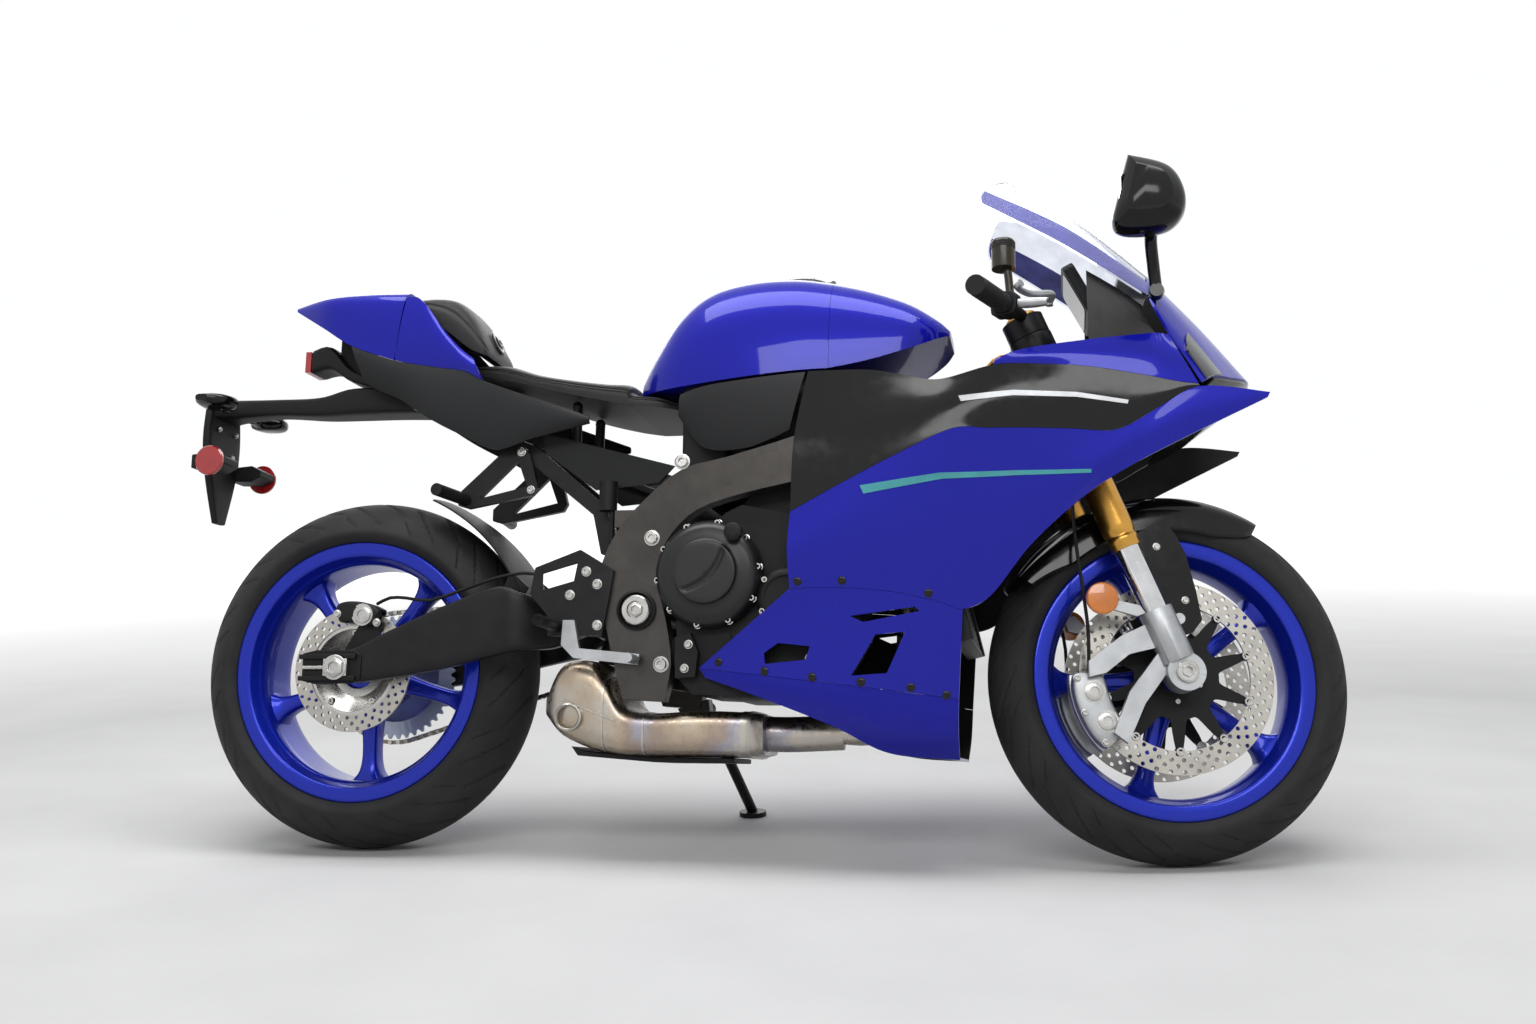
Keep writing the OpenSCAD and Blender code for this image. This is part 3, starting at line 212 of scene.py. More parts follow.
def smooth(rows: Array, steps: int) -> Array:
    """Carry a Catmull-Rom curve through rows along the first axis.

    Args:
        rows: Control rows of any shape after the first axis.
        steps: Steps between neighbouring rows.

    Returns:
        The curve's rows, (count - 1) * steps + 1 of them.
    """
    rows = np.asarray(rows, float)
    ext = np.concatenate([rows[:1], rows, rows[-1:]])
    t = (np.arange(steps) / steps).reshape((1, -1) + (1,) * (rows.ndim - 1))
    a, b, c, d = (ext[k:k + len(rows) - 1][:, None] for k in range(4))
    curve = 0.5 * (2 * b + (c - a) * t + (2 * a - 5 * b + 4 * c - d) * t**2 + (3 * b - a - 3 * c + d) * t**3)
    return np.concatenate([curve.reshape((-1,) + rows.shape[1:]), rows[-1:]])


def fine_grid(rows: Rows, n: int, m: int) -> Array:
    """Smooth a table of rib points both ways.

    Args:
        rows: Ribs, each a list of points.
        n: Steps between ribs.
        m: Steps between the points of a rib.

    Returns:
        A grid of points.
    """
    return np.swapaxes(smooth(np.swapaxes(smooth(np.array(rows, float), n), 0, 1), m), 0, 1)


def grid_quads(n: int, m: int, wrap_n: bool = False, wrap_m: bool = False) -> Array:
    """Number the faces of an n by m grid.

    Args:
        n: Rows.
        m: Columns.
        wrap_n: Whether the last row joins the first.
        wrap_m: Whether the last column joins the first.

    Returns:
        Four point numbers a face.
    """
    i, j = np.meshgrid(np.arange(n if wrap_n else n - 1), np.arange(m if wrap_m else m - 1), indexing="ij")
    i, j, k, l = i.ravel(), j.ravel(), (i.ravel() + 1) % n, (j.ravel() + 1) % m
    return np.stack([i * m + j, i * m + l, k * m + l, k * m + j], -1)


def shell(outer: Array, inner: Array) -> Surface:
    """Close the room between an outer and an inner grid of equal shape.

    Args:
        outer: Grid of the visible face.
        inner: Grid of the hidden face.

    Returns:
        A closed panel: both grids and a strip round their common border.
    """
    n, m = outer.shape[:2]
    k = n * m
    idx = np.arange(k).reshape(n, m)
    loop = np.concatenate([idx[0], idx[1:, -1], idx[-1, -2::-1], idx[-2:0:-1, 0]])
    nxt = np.roll(loop, -1)
    rim = np.stack([loop, loop + k, nxt + k, nxt], -1)
    face = grid_quads(n, m)
    points = np.concatenate([outer.reshape(-1, 3), inner.reshape(-1, 3)])
    tags = np.concatenate([np.zeros(len(face), int), np.ones(len(face), int), np.zeros(len(rim), int)])
    return Surface(points, np.concatenate([face, face[:, ::-1] + k, rim]), [], tags).outward()


def loft(rings: Array) -> Surface:
    """Carry closed rings along a path and close both ends with flat faces.

    Args:
        rings: Grid of rings by points.

    Returns:
        A closed solid's surface.
    """
    n, m = rings.shape[:2]
    ends = [list(range(m)), list(range((n - 1) * m, n * m))[::-1]]
    quads = grid_quads(n, m, wrap_m=True)
    return Surface(rings.reshape(-1, 3), quads[:, ::-1], ends).outward()


def tube(path: Array, radius: float | Array, sides: int = 12) -> Surface:
    """Sweep a circle along a path on frames carried from the first direction.

    Args:
        path: Points of the centre line.
        radius: Radius, one or a list along the path.
        sides: Points round the circle.

    Returns:
        A closed round bar.
    """
    path = np.asarray(path, float)
    way = np.gradient(path, axis=0)
    way /= np.linalg.norm(way, axis=1)[:, None]
    guess = np.eye(3)[np.argmin(np.abs(way).max(0))]
    side = np.cross(way, guess)
    side /= np.linalg.norm(side, axis=1)[:, None]
    up = np.cross(way, side)
    a = np.linspace(0, 2 * np.pi, sides, endpoint=False)
    r = np.broadcast_to(np.asarray(radius, float), (len(path),))[:, None, None]
    ring = np.cos(a)[None, :, None] * side[:, None] + np.sin(a)[None, :, None] * up[:, None]
    return loft(path[:, None] + r * ring)


def revolve(profile: Rows, centre: tuple, n: int = 96, closed: bool = True) -> Surface:
    """Turn a profile of radius and place along y about a cross axis.

    Args:
        profile: Pairs of radius and y.
        centre: x and z of the axis.
        n: Steps round.
        closed: Whether the profile is a closed outline; an open one is closed by flat ends.

    Returns:
        x = cx + r sin a, z = cz + r cos a at every step.
    """
    p = np.asarray(profile, float)
    a = np.linspace(0, 2 * np.pi, n, endpoint=False)
    r, y = p[:, 0][:, None], p[:, 1][:, None]
    grid = np.stack([centre[0] + r * np.sin(a), y + 0 * a, centre[1] + r * np.cos(a)], -1)
    if not closed:
        return loft(grid)
    return Surface(grid.reshape(-1, 3), grid_quads(len(p), n, True, True)).outward()


def rounded(count: int, power: float) -> tuple[Array, Array]:
    """Walk round a superellipse: sign(c) |c|^power, and the same for the sine.

    Args:
        count: Points round it.
        power: Its power; 1 is round and less is squarer.

    Returns:
        The factors of its two half widths.
    """
    a = np.linspace(0, 2 * np.pi, count, endpoint=False) + np.pi / count
    c, s = np.cos(a), np.sin(a)
    return np.sign(c) * np.abs(c) ** power, np.sign(s) * np.abs(s) ** power


def plate(outline: Rows, y0: float, y1: float) -> Surface:
    """Give an outline in x and z a thickness along y.

    Args:
        outline: Pairs of x and z.
        y0: First place along y.
        y1: Second place along y.

    Returns:
        A closed flat plate.
    """
    o = np.asarray(outline, float)
    rings = np.stack([np.stack([o[:, 0], np.full(len(o), y), o[:, 1]], -1) for y in (y0, y1)])
    return loft(rings)


def circle(radius: float | Array, y: float, a: Array) -> Array:
    """Return points round a cross axis at angles a: r sin a, y, r cos a."""
    return np.stack(np.broadcast_arrays(radius * np.sin(a), y, radius * np.cos(a)), -1)


def both_sides(rows: Rows) -> Array:
    """Mirror ribs that are given from the middle to the left.

    Args:
        rows: The ribs, the middle one first.

    Returns:
        The ribs from right to left, the middle one once.
    """
    half = np.array(rows, float)
    return np.concatenate([half[:0:-1] * MIRROR, half])


def under(edge: Array, gap: tuple, rows: Rows) -> Array:
    """Hang ribs below a neighbour's edge.

    Args:
        edge: The edge, one point a rib.
        gap: Step from the edge to the ribs' first points.
        rows: The ribs' other points.

    Returns:
        The whole ribs.
    """
    return np.concatenate([(edge + np.array(gap))[:, None], np.array(rows, float)], 1)


def over(edge: Array, gap: tuple, rows: Rows) -> Array:
    """Stand ribs on a neighbour's edge.

    Args:
        edge: The edge, one point a rib.
        gap: Step from the edge to the ribs' last points.
        rows: The ribs' other points.

    Returns:
        The whole ribs.
    """
    return np.concatenate([np.array(rows, float), (edge + np.array(gap))[:, None]], 1)


def bowed(face: Array, bow: float, wall: float = 4.0) -> Surface:
    """Swell a side panel outwards between its edges and give it a wall.

    Args:
        face: Grid of the left panel.
        bow: How far its middle stands out.
        wall: Its thickness along y.

    Returns:
        The panels of both sides.
    """
    rise = np.sin(np.linspace(0, np.pi, face.shape[1]))[None, :, None] * np.array([0, bow, 0])
    return shell(face + rise, face + rise - np.array([0, wall, 0])).pair()


def arched(rows: Rows, steps: int, count: int, roll: float, pinch: float = 0.0) -> Surface:
    """Loft a half oval over a flat floor: y = half |cos a|^0.6, z = floor + rise sin^roll a.

    Args:
        rows: Columns x, half width, floor and top.
        steps: Steps between rows.
        count: Steps over the arch.
        roll: Power of the arch; less is flatter on top.
        pinch: Share by which a welt near the edge pulls it in.

    Returns:
        The closed body.
    """
    r = smooth(np.array(rows, float), steps)
    a = np.linspace(0, np.pi, count + 1)
    c, s = np.cos(a), np.maximum(np.sin(a), 0)
    welt = 1 - pinch * np.exp(-((np.abs(c) - 0.9) / 0.03) ** 2)
    y = r[:, 1:2] * np.sign(c) * np.abs(c) ** 0.6 * welt
    z = r[:, 2:3] + (r[:, 3:4] - r[:, 2:3]) * s**roll
    return loft(np.stack([np.broadcast_to(r[:, :1], y.shape), y, z], -1))


def sector(span: tuple, ease: float, box: tuple, count: int, rise: float = 0.0) -> Surface:
    """Sweep a rounded oblong round an axle: r and y are mid + half times a superellipse.

    Args:
        span: First and last angle in degrees, and the steps between.
        ease: Share by which the two ends shrink.
        box: Lowest and highest y, inner and outer radius.
        count: Points round the section.
        rise: Height of the axle.

    Returns:
        The closed piece of a ring.
    """
    a = np.radians(np.linspace(*span))[:, None]
    end = 1 - ease * np.abs(np.linspace(-1, 1, span[2]))[:, None] ** 6
    c, s = rounded(count, 0.4)
    y0, y1, r0, r1 = box
    r = (r0 + r1) / 2 + (r1 - r0) / 2 * c * end
    y = (y0 + y1) / 2 + (y1 - y0) / 2 * s * end
    return loft(np.stack([r * np.cos(a), y, rise + r * np.sin(a)], -1))


def stood(order: tuple, at: tuple | Array) -> Move:
    """Make a move that takes a piece's axes in another order and sets it at a place.

    Args:
        order: Which old axis each new axis takes.
        at: The place.

    Returns:
        The move, for Surface.moved.
    """
    return lambda points: points[:, list(order)] + np.array(at, float)


def tipped(x: float, z: float, degrees: float) -> Move:
    """Make a move that tips a piece back about y and sets it at a place.

    Args:
        x: The place along x.
        z: Its height.
        degrees: How far it tips.

    Returns:
        The move, for Surface.moved.
    """
    cos, sin = math.cos(math.radians(degrees)), math.sin(math.radians(degrees))
    turn = np.array([[cos, 0, sin], [0, 1, 0], [-sin, 0, cos]])
    return lambda points: points @ turn + np.array([x, 0, z])


class Texture(Enum):
    """Fine patterns that a finish can show."""

    FLAKE = "flake"
    GRAIN = "grain"
    BRUSH = "brush"
    HIDE = "hide"
    HEAT = "heat"


class Groups:
    """Shader node groups that several finishes share, each built once."""

    made: dict = {}

    @classmethod
    def start(cls, name: str, inputs: Rows, outputs: Rows) -> tuple:
        """Begin a node group.

        Args:
            name: The group's name.
            inputs: Pairs of socket type and name.
            outputs: Pairs of socket type and name.

        Returns:
            The tree with its input and output nodes.
        """
        tree = bpy.data.node_groups.new(name, "ShaderNodeTree")
        for kind, label in inputs:
            tree.interface.new_socket(label, in_out="INPUT", socket_type="NodeSocket" + kind)
        for kind, label in outputs:
            tree.interface.new_socket(label, in_out="OUTPUT", socket_type="NodeSocket" + kind)
        return tree, tree.nodes.new("NodeGroupInput"), tree.nodes.new("NodeGroupOutput")

    @classmethod
    def grain(cls) -> bpy.types.NodeTree:
        """Build the grain group once: a noise that lifts the surface and varies its roughness.

        Returns:
            The group's tree.
        """
        if "grain" not in cls.made:
            tree, gin, gout = cls.start(
                "surface_grain",
                (("Vector", "Vector"), ("Float", "Scale"), ("Float", "Detail"), ("Float", "Low"), ("Float", "High")),
                (("Float", "Height"), ("Float", "Roughness")),
            )
            noise = tree.nodes.new("ShaderNodeTexNoise")
            span = tree.nodes.new("ShaderNodeMapRange")
            span.inputs["From Min"].default_value = 0.3
            span.inputs["From Max"].default_value = 0.7
            for a, b in (
                (gin.outputs["Vector"], noise.inputs["Vector"]),
                (gin.outputs["Scale"], noise.inputs["Scale"]),
                (gin.outputs["Detail"], noise.inputs["Detail"]),
                (noise.outputs["Fac"], span.inputs["Value"]),
                (gin.outputs["Low"], span.inputs["To Min"]),
                (gin.outputs["High"], span.inputs["To Max"]),
                (noise.outputs["Fac"], gout.inputs["Height"]),
                (span.outputs["Result"], gout.inputs["Roughness"]),
            ):
                tree.links.new(a, b)
            cls.made["grain"] = tree
        return cls.made["grain"]

    @classmethod
    def mottle(cls) -> bpy.types.NodeTree:
        """Build the mottle group once: two colours mixed by a soft noise.

        A colour mix has several sockets called A, B and Result, and the colour ones go by number.

        Returns:
            The group's tree.
        """
        if "mottle" not in cls.made:
            tree, gin, gout = cls.start(
                "colour_mottle",
                (("Vector", "Vector"), ("Float", "Scale"), ("Color", "First"), ("Color", "Second")),
                (("Color", "Color"),),
            )
            noise = tree.nodes.new("ShaderNodeTexNoise")
            noise.inputs["Detail"].default_value = 4
            span = tree.nodes.new("ShaderNodeMapRange")
            span.inputs["From Min"].default_value = 0.32
            span.inputs["From Max"].default_value = 0.68
            mix = tree.nodes.new("ShaderNodeMix")
            mix.data_type = "RGBA"
            for a, b in (
                (gin.outputs["Vector"], noise.inputs["Vector"]),
                (gin.outputs["Scale"], noise.inputs["Scale"]),
                (noise.outputs["Fac"], span.inputs["Value"]),
                (span.outputs["Result"], mix.inputs["Factor"]),
                (gin.outputs["First"], mix.inputs[6]),
                (gin.outputs["Second"], mix.inputs[7]),
                (mix.outputs[2], gout.inputs["Color"]),
            ):
                tree.links.new(a, b)
            cls.made["mottle"] = tree
        return cls.made["mottle"]


@dataclass(frozen=True)
class Finish:
    """A surface finish: colour, gloss and the fine pattern that the real one shows."""

    name: str
    color: tuple
    roughness: float = 0.4
    metallic: float = 0.0
    texture: Texture = Texture.GRAIN
    scale: float = 400.0
    bump: float = 0.0
    swing: float = 0.06
    second: tuple | None = None
    mottle: float = 30.0
    coat: float = 0.0
    transmission: float = 0.0
    ior: float = 1.45
    alpha: float = 1.0
    specular: float = 0.5

    def material(self) -> bpy.types.Material:
        """Build the finish's material once.

        Returns:
            The material, with its pattern on Object coordinates.
        """
        label = "finish_" + self.name
        found = bpy.data.materials.get(label)
        if found:
            return found
        mat = bpy.data.materials.new(label)
        mat.use_nodes = True
        nodes, links = mat.node_tree.nodes, mat.node_tree.links
        shader = nodes["Principled BSDF"]
        for label, value in (
            ("Metallic", self.metallic), ("Coat Weight", self.coat), ("Coat Roughness", 0.04), ("IOR", self.ior),
            ("Transmission Weight", self.transmission), ("Alpha", self.alpha), ("Specular IOR Level", self.specular),
        ):
            shader.inputs[label].default_value = value
        coords = nodes.new("ShaderNodeTexCoord")
        stretch = nodes.new("ShaderNodeMapping")
        stretch.inputs["Scale"].default_value = (1, 1, 14) if self.texture is Texture.BRUSH else (1, 1, 1)
        links.new(coords.outputs["Object"], stretch.inputs["Vector"])
        grain = nodes.new("ShaderNodeGroup")
        grain.node_tree = Groups.grain()
        links.new(stretch.outputs["Vector"], grain.inputs["Vector"])
        grain.inputs["Scale"].default_value = self.scale
        grain.inputs["Detail"].default_value = 2 if self.texture is Texture.HIDE else 5
        grain.inputs["Low"].default_value = max(self.roughness - self.swing, 0.02)
        grain.inputs["High"].default_value = min(self.roughness + self.swing, 1.0)
        links.new(grain.outputs["Roughness"], shader.inputs["Roughness"])
        colour = self.heat if self.texture is Texture.HEAT else self.tint
        links.new(colour(nodes, links, coords), shader.inputs["Base Color"])
        if self.bump:
            bump = nodes.new("ShaderNodeBump")
            bump.inputs["Distance"].default_value = self.bump
            height = grain.outputs["Height"]
            if self.texture is Texture.HIDE:
                cells = nodes.new("ShaderNodeTexVoronoi")
                cells.inputs["Scale"].default_value = self.scale
                links.new(coords.outputs["Object"], cells.inputs["Vector"])
                height = cells.outputs["Distance"]
            links.new(height, bump.inputs["Height"])
            links.new(bump.outputs["Normal"], shader.inputs["Normal"])
        return mat

    def tint(self, nodes: bpy.types.Nodes, links: bpy.types.NodeLinks,
             coords: bpy.types.Node) -> bpy.types.NodeSocket:
        """Mix the finish's two colours: as flakes in metallic paint, else as a soft mottle.

        Args:
            nodes: The material's nodes.
            links: The material's links.
            coords: Its Texture Coordinate node.

        Returns:
            The colour's socket.
        """
        mix = nodes.new("ShaderNodeGroup")
        mix.node_tree = Groups.mottle()
        second = self.second or tuple(c * 0.8 for c in self.color)
        links.new(coords.outputs["Object"], mix.inputs["Vector"])
        mix.inputs["Scale"].default_value = 1600 if self.texture is Texture.FLAKE else self.mottle
        mix.inputs["First"].default_value = (*self.color, 1)
        mix.inputs["Second"].default_value = (*second, 1)
        return mix.outputs["Color"]

    def heat(self, nodes: bpy.types.Nodes, links: bpy.types.NodeLinks,
             coords: bpy.types.Node) -> bpy.types.NodeSocket:
        """Colour steel by how hot it has run: straw, brown and blue bands that wander along x.

        Args:
            nodes: The material's nodes.
            links: The material's links.
            coords: Its Texture Coordinate node.

        Returns:
            The colour's socket.
        """
        split = nodes.new("ShaderNodeSeparateXYZ")
        links.new(coords.outputs["Object"], split.inputs["Vector"])
        noise = nodes.new("ShaderNodeTexNoise")
        noise.inputs["Scale"].default_value = 9
        noise.inputs["Detail"].default_value = 6
        links.new(coords.outputs["Object"], noise.inputs["Vector"])
        add = nodes.new("ShaderNodeMath")
        add.operation = "MULTIPLY_ADD"
        add.inputs[1].default_value = 1.6
        links.new(noise.outputs["Fac"], add.inputs[0])
        links.new(split.outputs["X"], add.inputs[2])
        ramp = nodes.new("ShaderNodeValToRGB")
        stops = ((0.0, (0.34, 0.32, 0.30)), (0.3, (0.42, 0.38, 0.33)), (0.5, (0.38, 0.31, 0.23)),
                 (0.68, (0.29, 0.23, 0.19)), (0.84, (0.30, 0.29, 0.33)), (1.0, (0.45, 0.41, 0.36)))
        while len(ramp.color_ramp.elements) < len(stops):
            ramp.color_ramp.elements.new(0.5)
        for element, (at, colour) in zip(ramp.color_ramp.elements, stops):
            element.position = at
            element.color = (*colour, 1)
        links.new(add.outputs[0], ramp.inputs["Fac"])
        return ramp.outputs["Color"]


class Paint:
    """Every finish on the machine."""

    BLUE = Finish("deep_blue_gloss", (0.003, 0.004, 0.27), 0.28, 0.2, Texture.FLAKE, 900, second=(0.005, 0.007, 0.36),
                  swing=0.03, coat=0.45, specular=0.05)
    RIM = Finish("blue_metallic", (0.005, 0.014, 0.32), 0.30, 0.5, Texture.FLAKE, 900, second=(0.010, 0.028, 0.42),
                 swing=0.04, coat=0.4, specular=0.1)
    BLACK = Finish("gloss_black", (0.003, 0.003, 0.0035), 0.12, scale=60, swing=0.04, coat=0.0, specular=0.35)
    MATTE = Finish("moulded_grey", (0.011, 0.0115, 0.0125), 0.55, scale=1400, bump=0.00012, mottle=12, specular=0.25)
    TEXTURED = Finish("moulded_black", (0.005, 0.005, 0.0055), 0.5, scale=1800, bump=0.0002, mottle=10, specular=0.25)
    FRAME = Finish("satin_frame", (0.062, 0.057, 0.053), 0.42, 0.75, scale=700, bump=0.00005, swing=0.08)
    ARM = Finish("satin_black_alloy", (0.018, 0.018, 0.019), 0.40, 0.5, scale=700, bump=0.00004, swing=0.07,
                 specular=0.25)
    CASE = Finish("engine_black", (0.011, 0.011, 0.012), 0.5, 0.3, scale=900, bump=0.0002, swing=0.08, mottle=18,
                  specular=0.25)
    STEEL = Finish("bright_steel", (0.50, 0.49, 0.47), 0.26, 1.0, Texture.BRUSH, 220, swing=0.09, mottle=40)
    DISC = Finish("disc_steel", (0.44, 0.42, 0.38), 0.34, 1.0, Texture.BRUSH, 320, swing=0.08, mottle=25)
    CHROME = Finish("hard_chrome", (0.66, 0.66, 0.67), 0.08, 1.0, scale=90, swing=0.04)
    GOLD = Finish("gold_anodised", (0.62, 0.33, 0.07), 0.30, 1.0, Texture.BRUSH, 400, swing=0.06)
    CAST = Finish("cast_silver", (0.43, 0.44, 0.45), 0.42, 0.9, scale=900, bump=0.00012, swing=0.08)
    HEAT = Finish("heated_steel", (0.4, 0.35, 0.3), 0.34, 1.0, Texture.HEAT, 120, swing=0.12)
    TYRE = Finish("tyre_rubber", (0.016, 0.016, 0.017), 0.72, scale=900, bump=0.00015, second=(0.026, 0.026, 0.026),
                  mottle=14, swing=0.1, specular=0.25)
    RUBBER = Finish("soft_rubber", (0.012, 0.012, 0.012), 0.66, scale=1100, bump=0.00015, specular=0.25)
    HIDE = Finish("seat_vinyl", (0.013, 0.013, 0.014), 0.46, texture=Texture.HIDE, scale=900, bump=0.0003,
                  specular=0.25)
    GLASS = Finish("clear_screen", (0.86, 0.89, 0.97), 0.03, scale=20, swing=0.01, transmission=1.0, ior=1.08)
    TINT = Finish("tinted_band", (0.10, 0.10, 0.42), 0.10, scale=20, swing=0.02, coat=0.6, alpha=0.82)
    RED = Finish("red_lens", (0.42, 0.010, 0.012), 0.16, scale=300, bump=0.0003, swing=0.04, coat=0.8)
    AMBER = Finish("amber_lens", (0.80, 0.22, 0.010), 0.18, scale=300, bump=0.0003, swing=0.04, coat=0.8)
    SMOKE = Finish("smoked_bottle", (0.030, 0.025, 0.014), 0.2, scale=60, coat=0.1, specular=0.3)
    TEAL = Finish("teal_stripe", (0.010, 0.30, 0.33), 0.2, scale=200, swing=0.04, coat=1.0)
    COVER = Finish("cover_black", (0.014, 0.014, 0.015), 0.34, 0.3, scale=900, bump=0.00006, swing=0.06, mottle=18)
    SPROCKET = Finish("sprocket_alloy", (0.42, 0.47, 0.56), 0.38, 0.9, Texture.BRUSH, 300, swing=0.08)
    SMOKED = Finish("lamp_glass", (0.010, 0.011, 0.014), 0.06, scale=80, swing=0.02, coat=1.0)
    CHAIN = Finish("chain_steel", (0.30, 0.27, 0.21), 0.42, 1.0, Texture.BRUSH, 500, swing=0.1)


def mesh_of(name: str, surface: Surface, body: Body) -> bpy.types.Mesh:
    """Make a mesh from a surface.

    Args:
        name: The mesh's name.
        surface: Its shape in the upright frame.
        body: The body that carries it, which tells whether it turns with the fork.

    Returns:
        The mesh in the row frame.
    """
    mesh = bpy.data.meshes.new(name)
    world = STANCE.world(surface.points, body in (Body.STEERING, Body.FRONT_WHEEL))
    mesh.from_pydata(world.tolist(), [], surface.quads.tolist() + [list(e) for e in surface.ends])
    return mesh


def ease_edges(obj: bpy.types.Object, width: float, angle: float) -> None:
    """Round a piece's sharp edges.

    Args:
        obj: The piece.
        width: Width of the rounding in millimetres.
        angle: Angle in degrees past which an edge is rounded.
    """
    rounding = obj.modifiers.new("edges", "BEVEL")
    rounding.width = width / MM
    rounding.segments = 2
    rounding.limit_method = "ANGLE"
    rounding.angle_limit = math.radians(angle)


def place(name: str, surface: Surface, body: Body, finish: Finish, swap: Sequence[str] = (),
          crease: float = 38.0, bevel: float = 0.0, lining: Finish | None = None,
          cuts: Surface | None = None) -> bpy.types.Object:
    """Make a piece from a surface, dress it and let it ride on its body.

    Args:
        name: The piece's name.
        surface: Its shape in the upright frame.
        body: The body that carries it.
        finish: Its finish.
        swap: CAD nodes it stands for.
        crease: Angle in degrees past which an edge stays sharp.
        bevel: Width of a rounded edge in millimetres, or none.
        lining: Finish of the faces marked as lining, or none.
        cuts: Closed shapes to cut away, or none.

    Returns:
        The finished object, at the origin.
    """
    mesh = mesh_of(name, surface, body)
    mesh.materials.append(finish.material())
    if lining:
        mesh.materials.append(lining.material())
        marks = np.concatenate([surface.marks(), np.zeros(len(surface.ends), int)])
        mesh.polygons.foreach_set("material_index", marks.astype(np.int32))
    obj = bpy.data.objects.new(name, mesh)
    bpy.context.scene.collection.objects.link(obj)
    if cuts:
        mesh = carve(obj, cuts, body)
    mesh.shade_smooth()
    mesh.set_sharp_from_angle(angle=math.radians(crease))
    if bevel:
        ease_edges(obj, bevel, 40)
    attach(obj, body.value)
    if swap:
        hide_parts(*swap)
    LOG.info("%s: %d points on %s", name, len(surface.points), body.value)
    return obj


def carve(obj: bpy.types.Object, cuts: Surface, body: Body) -> bpy.types.Mesh:
    """Cut closed shapes out of a piece and keep the result as its mesh.

    Args:
        obj: The piece.
        cuts: The shapes in the upright frame.
        body: The body that carries the piece.

    Returns:
        The piece's new mesh.
    """
    blade = mesh_of("blade", cuts, body)
    tool = bpy.data.objects.new("blade", blade)
    bpy.context.scene.collection.objects.link(tool)
    step = obj.modifiers.new("cut", "BOOLEAN")
    step.object = tool
    step.operation = "DIFFERENCE"
    step.solver = "EXACT"
    graph = bpy.context.evaluated_depsgraph_get()
    old, name = obj.data, obj.data.name
    mesh = bpy.data.meshes.new_from_object(obj.evaluated_get(graph))
    obj.modifiers.remove(step)
    obj.data = mesh
    bpy.data.meshes.remove(old)
    mesh.name = name
    bpy.data.objects.remove(tool)
    bpy.data.meshes.remove(blade)
    return mesh


def on_skin(grid: Array, spots: Array) -> Array:
    """Find a side panel's y at places in x and z, by distance weights over its four nearest points.

    Args:
        grid: The panel's fine grid.
        spots: Places, each x and z.

    Returns:
        Points x, y, z on the panel.
    """
    flat, spots = grid.reshape(-1, 3), np.asarray(spots, float)
    gap = np.linalg.norm(spots[:, None] - flat[None][:, :, [0, 2]], axis=-1)
    near = np.argsort(gap, axis=1)[:, :4]
    weight = 1 / (np.take_along_axis(gap, near, 1) + 1e-6) ** 2
    y = (flat[near, 1] * weight).sum(1) / weight.sum(1)
    return np.stack([spots[:, 0], y, spots[:, 1]], -1)


def bar_loft(corners: Array, power: float = 0.4, count: int = 28) -> Surface:
    """Carry a rounded oblong between four corners a row.

    Args:
        corners: Rows of four corners, in order round the section.
        power: Superellipse power; less is squarer.
        count: Points round the section.

    Returns:
        p = sum of the corners times (1 +- c)(1 +- s) / 4 over the superellipse's c and s.
    """
    c, s = rounded(count, power)
    w = np.stack([(1 - c) * (1 - s), (1 + c) * (1 - s), (1 + c) * (1 + s), (1 - c) * (1 + s)], -1) / 4
    return loft(np.einsum("kc,rcd->rkd", w, corners))


def beam(rows: Rows, steps: int, columns: Rows, power: float) -> Surface:
    """Loft a rounded oblong from a table.

    Args:
        rows: The table.
        steps: Steps between its rows.
        columns: For each of four corners, the table's columns of x, y and z, then the sign of y.
        power: Superellipse power.

    Returns:
        The closed bar.
    """
    pick = np.array(columns)
    corners = smooth(np.array(rows, float), steps)[:, pick[:, :3]]
    corners[..., 1] *= pick[:, 3]
    return bar_loft(corners, power)


def bolt(at: tuple, y0: float, out: float, size: float, side: int = -1) -> Surface:
    """Make a socket-headed bolt that points sideways.

    Args:
        at: x and z of its axis.
        y0: Place of its seat along y.
        out: How far the head stands out.
        size: The head's radius.
        side: -1 on the right, 1 on the left.

    Returns:
        A head with a rounded rim and a hollow in its face.
    """
    rows = np.array([[size * 1.25, 0], [size * 1.25, 0.18], [size, 0.2], [size, 0.8], [size * 0.86, 1.0],
                     [size * 0.5, 1.0], [size * 0.46, 0.5]])
    rows[:, 1] = y0 + side * out * rows[:, 1]
    return revolve(rows, at, 16, closed=False)


def dress(node: str, finish: Finish, bevel: float = 0.0) -> None:
    """Give a CAD node its finish, and round its edges where asked.

    Args:
        node: The node's name.
        finish: Its finish.
        bevel: Width of the rounded edges in millimetres, or none.
    """
    obj = frame["nodes"][node]
    obj.data.materials.clear()
    obj.data.materials.append(finish.material())
    if bevel:
        weld = obj.modifiers.new("weld", "WELD")
        weld.merge_threshold = 1e-5
        ease_edges(obj, bevel, 42)
    LOG.info("%s: dressed", node)


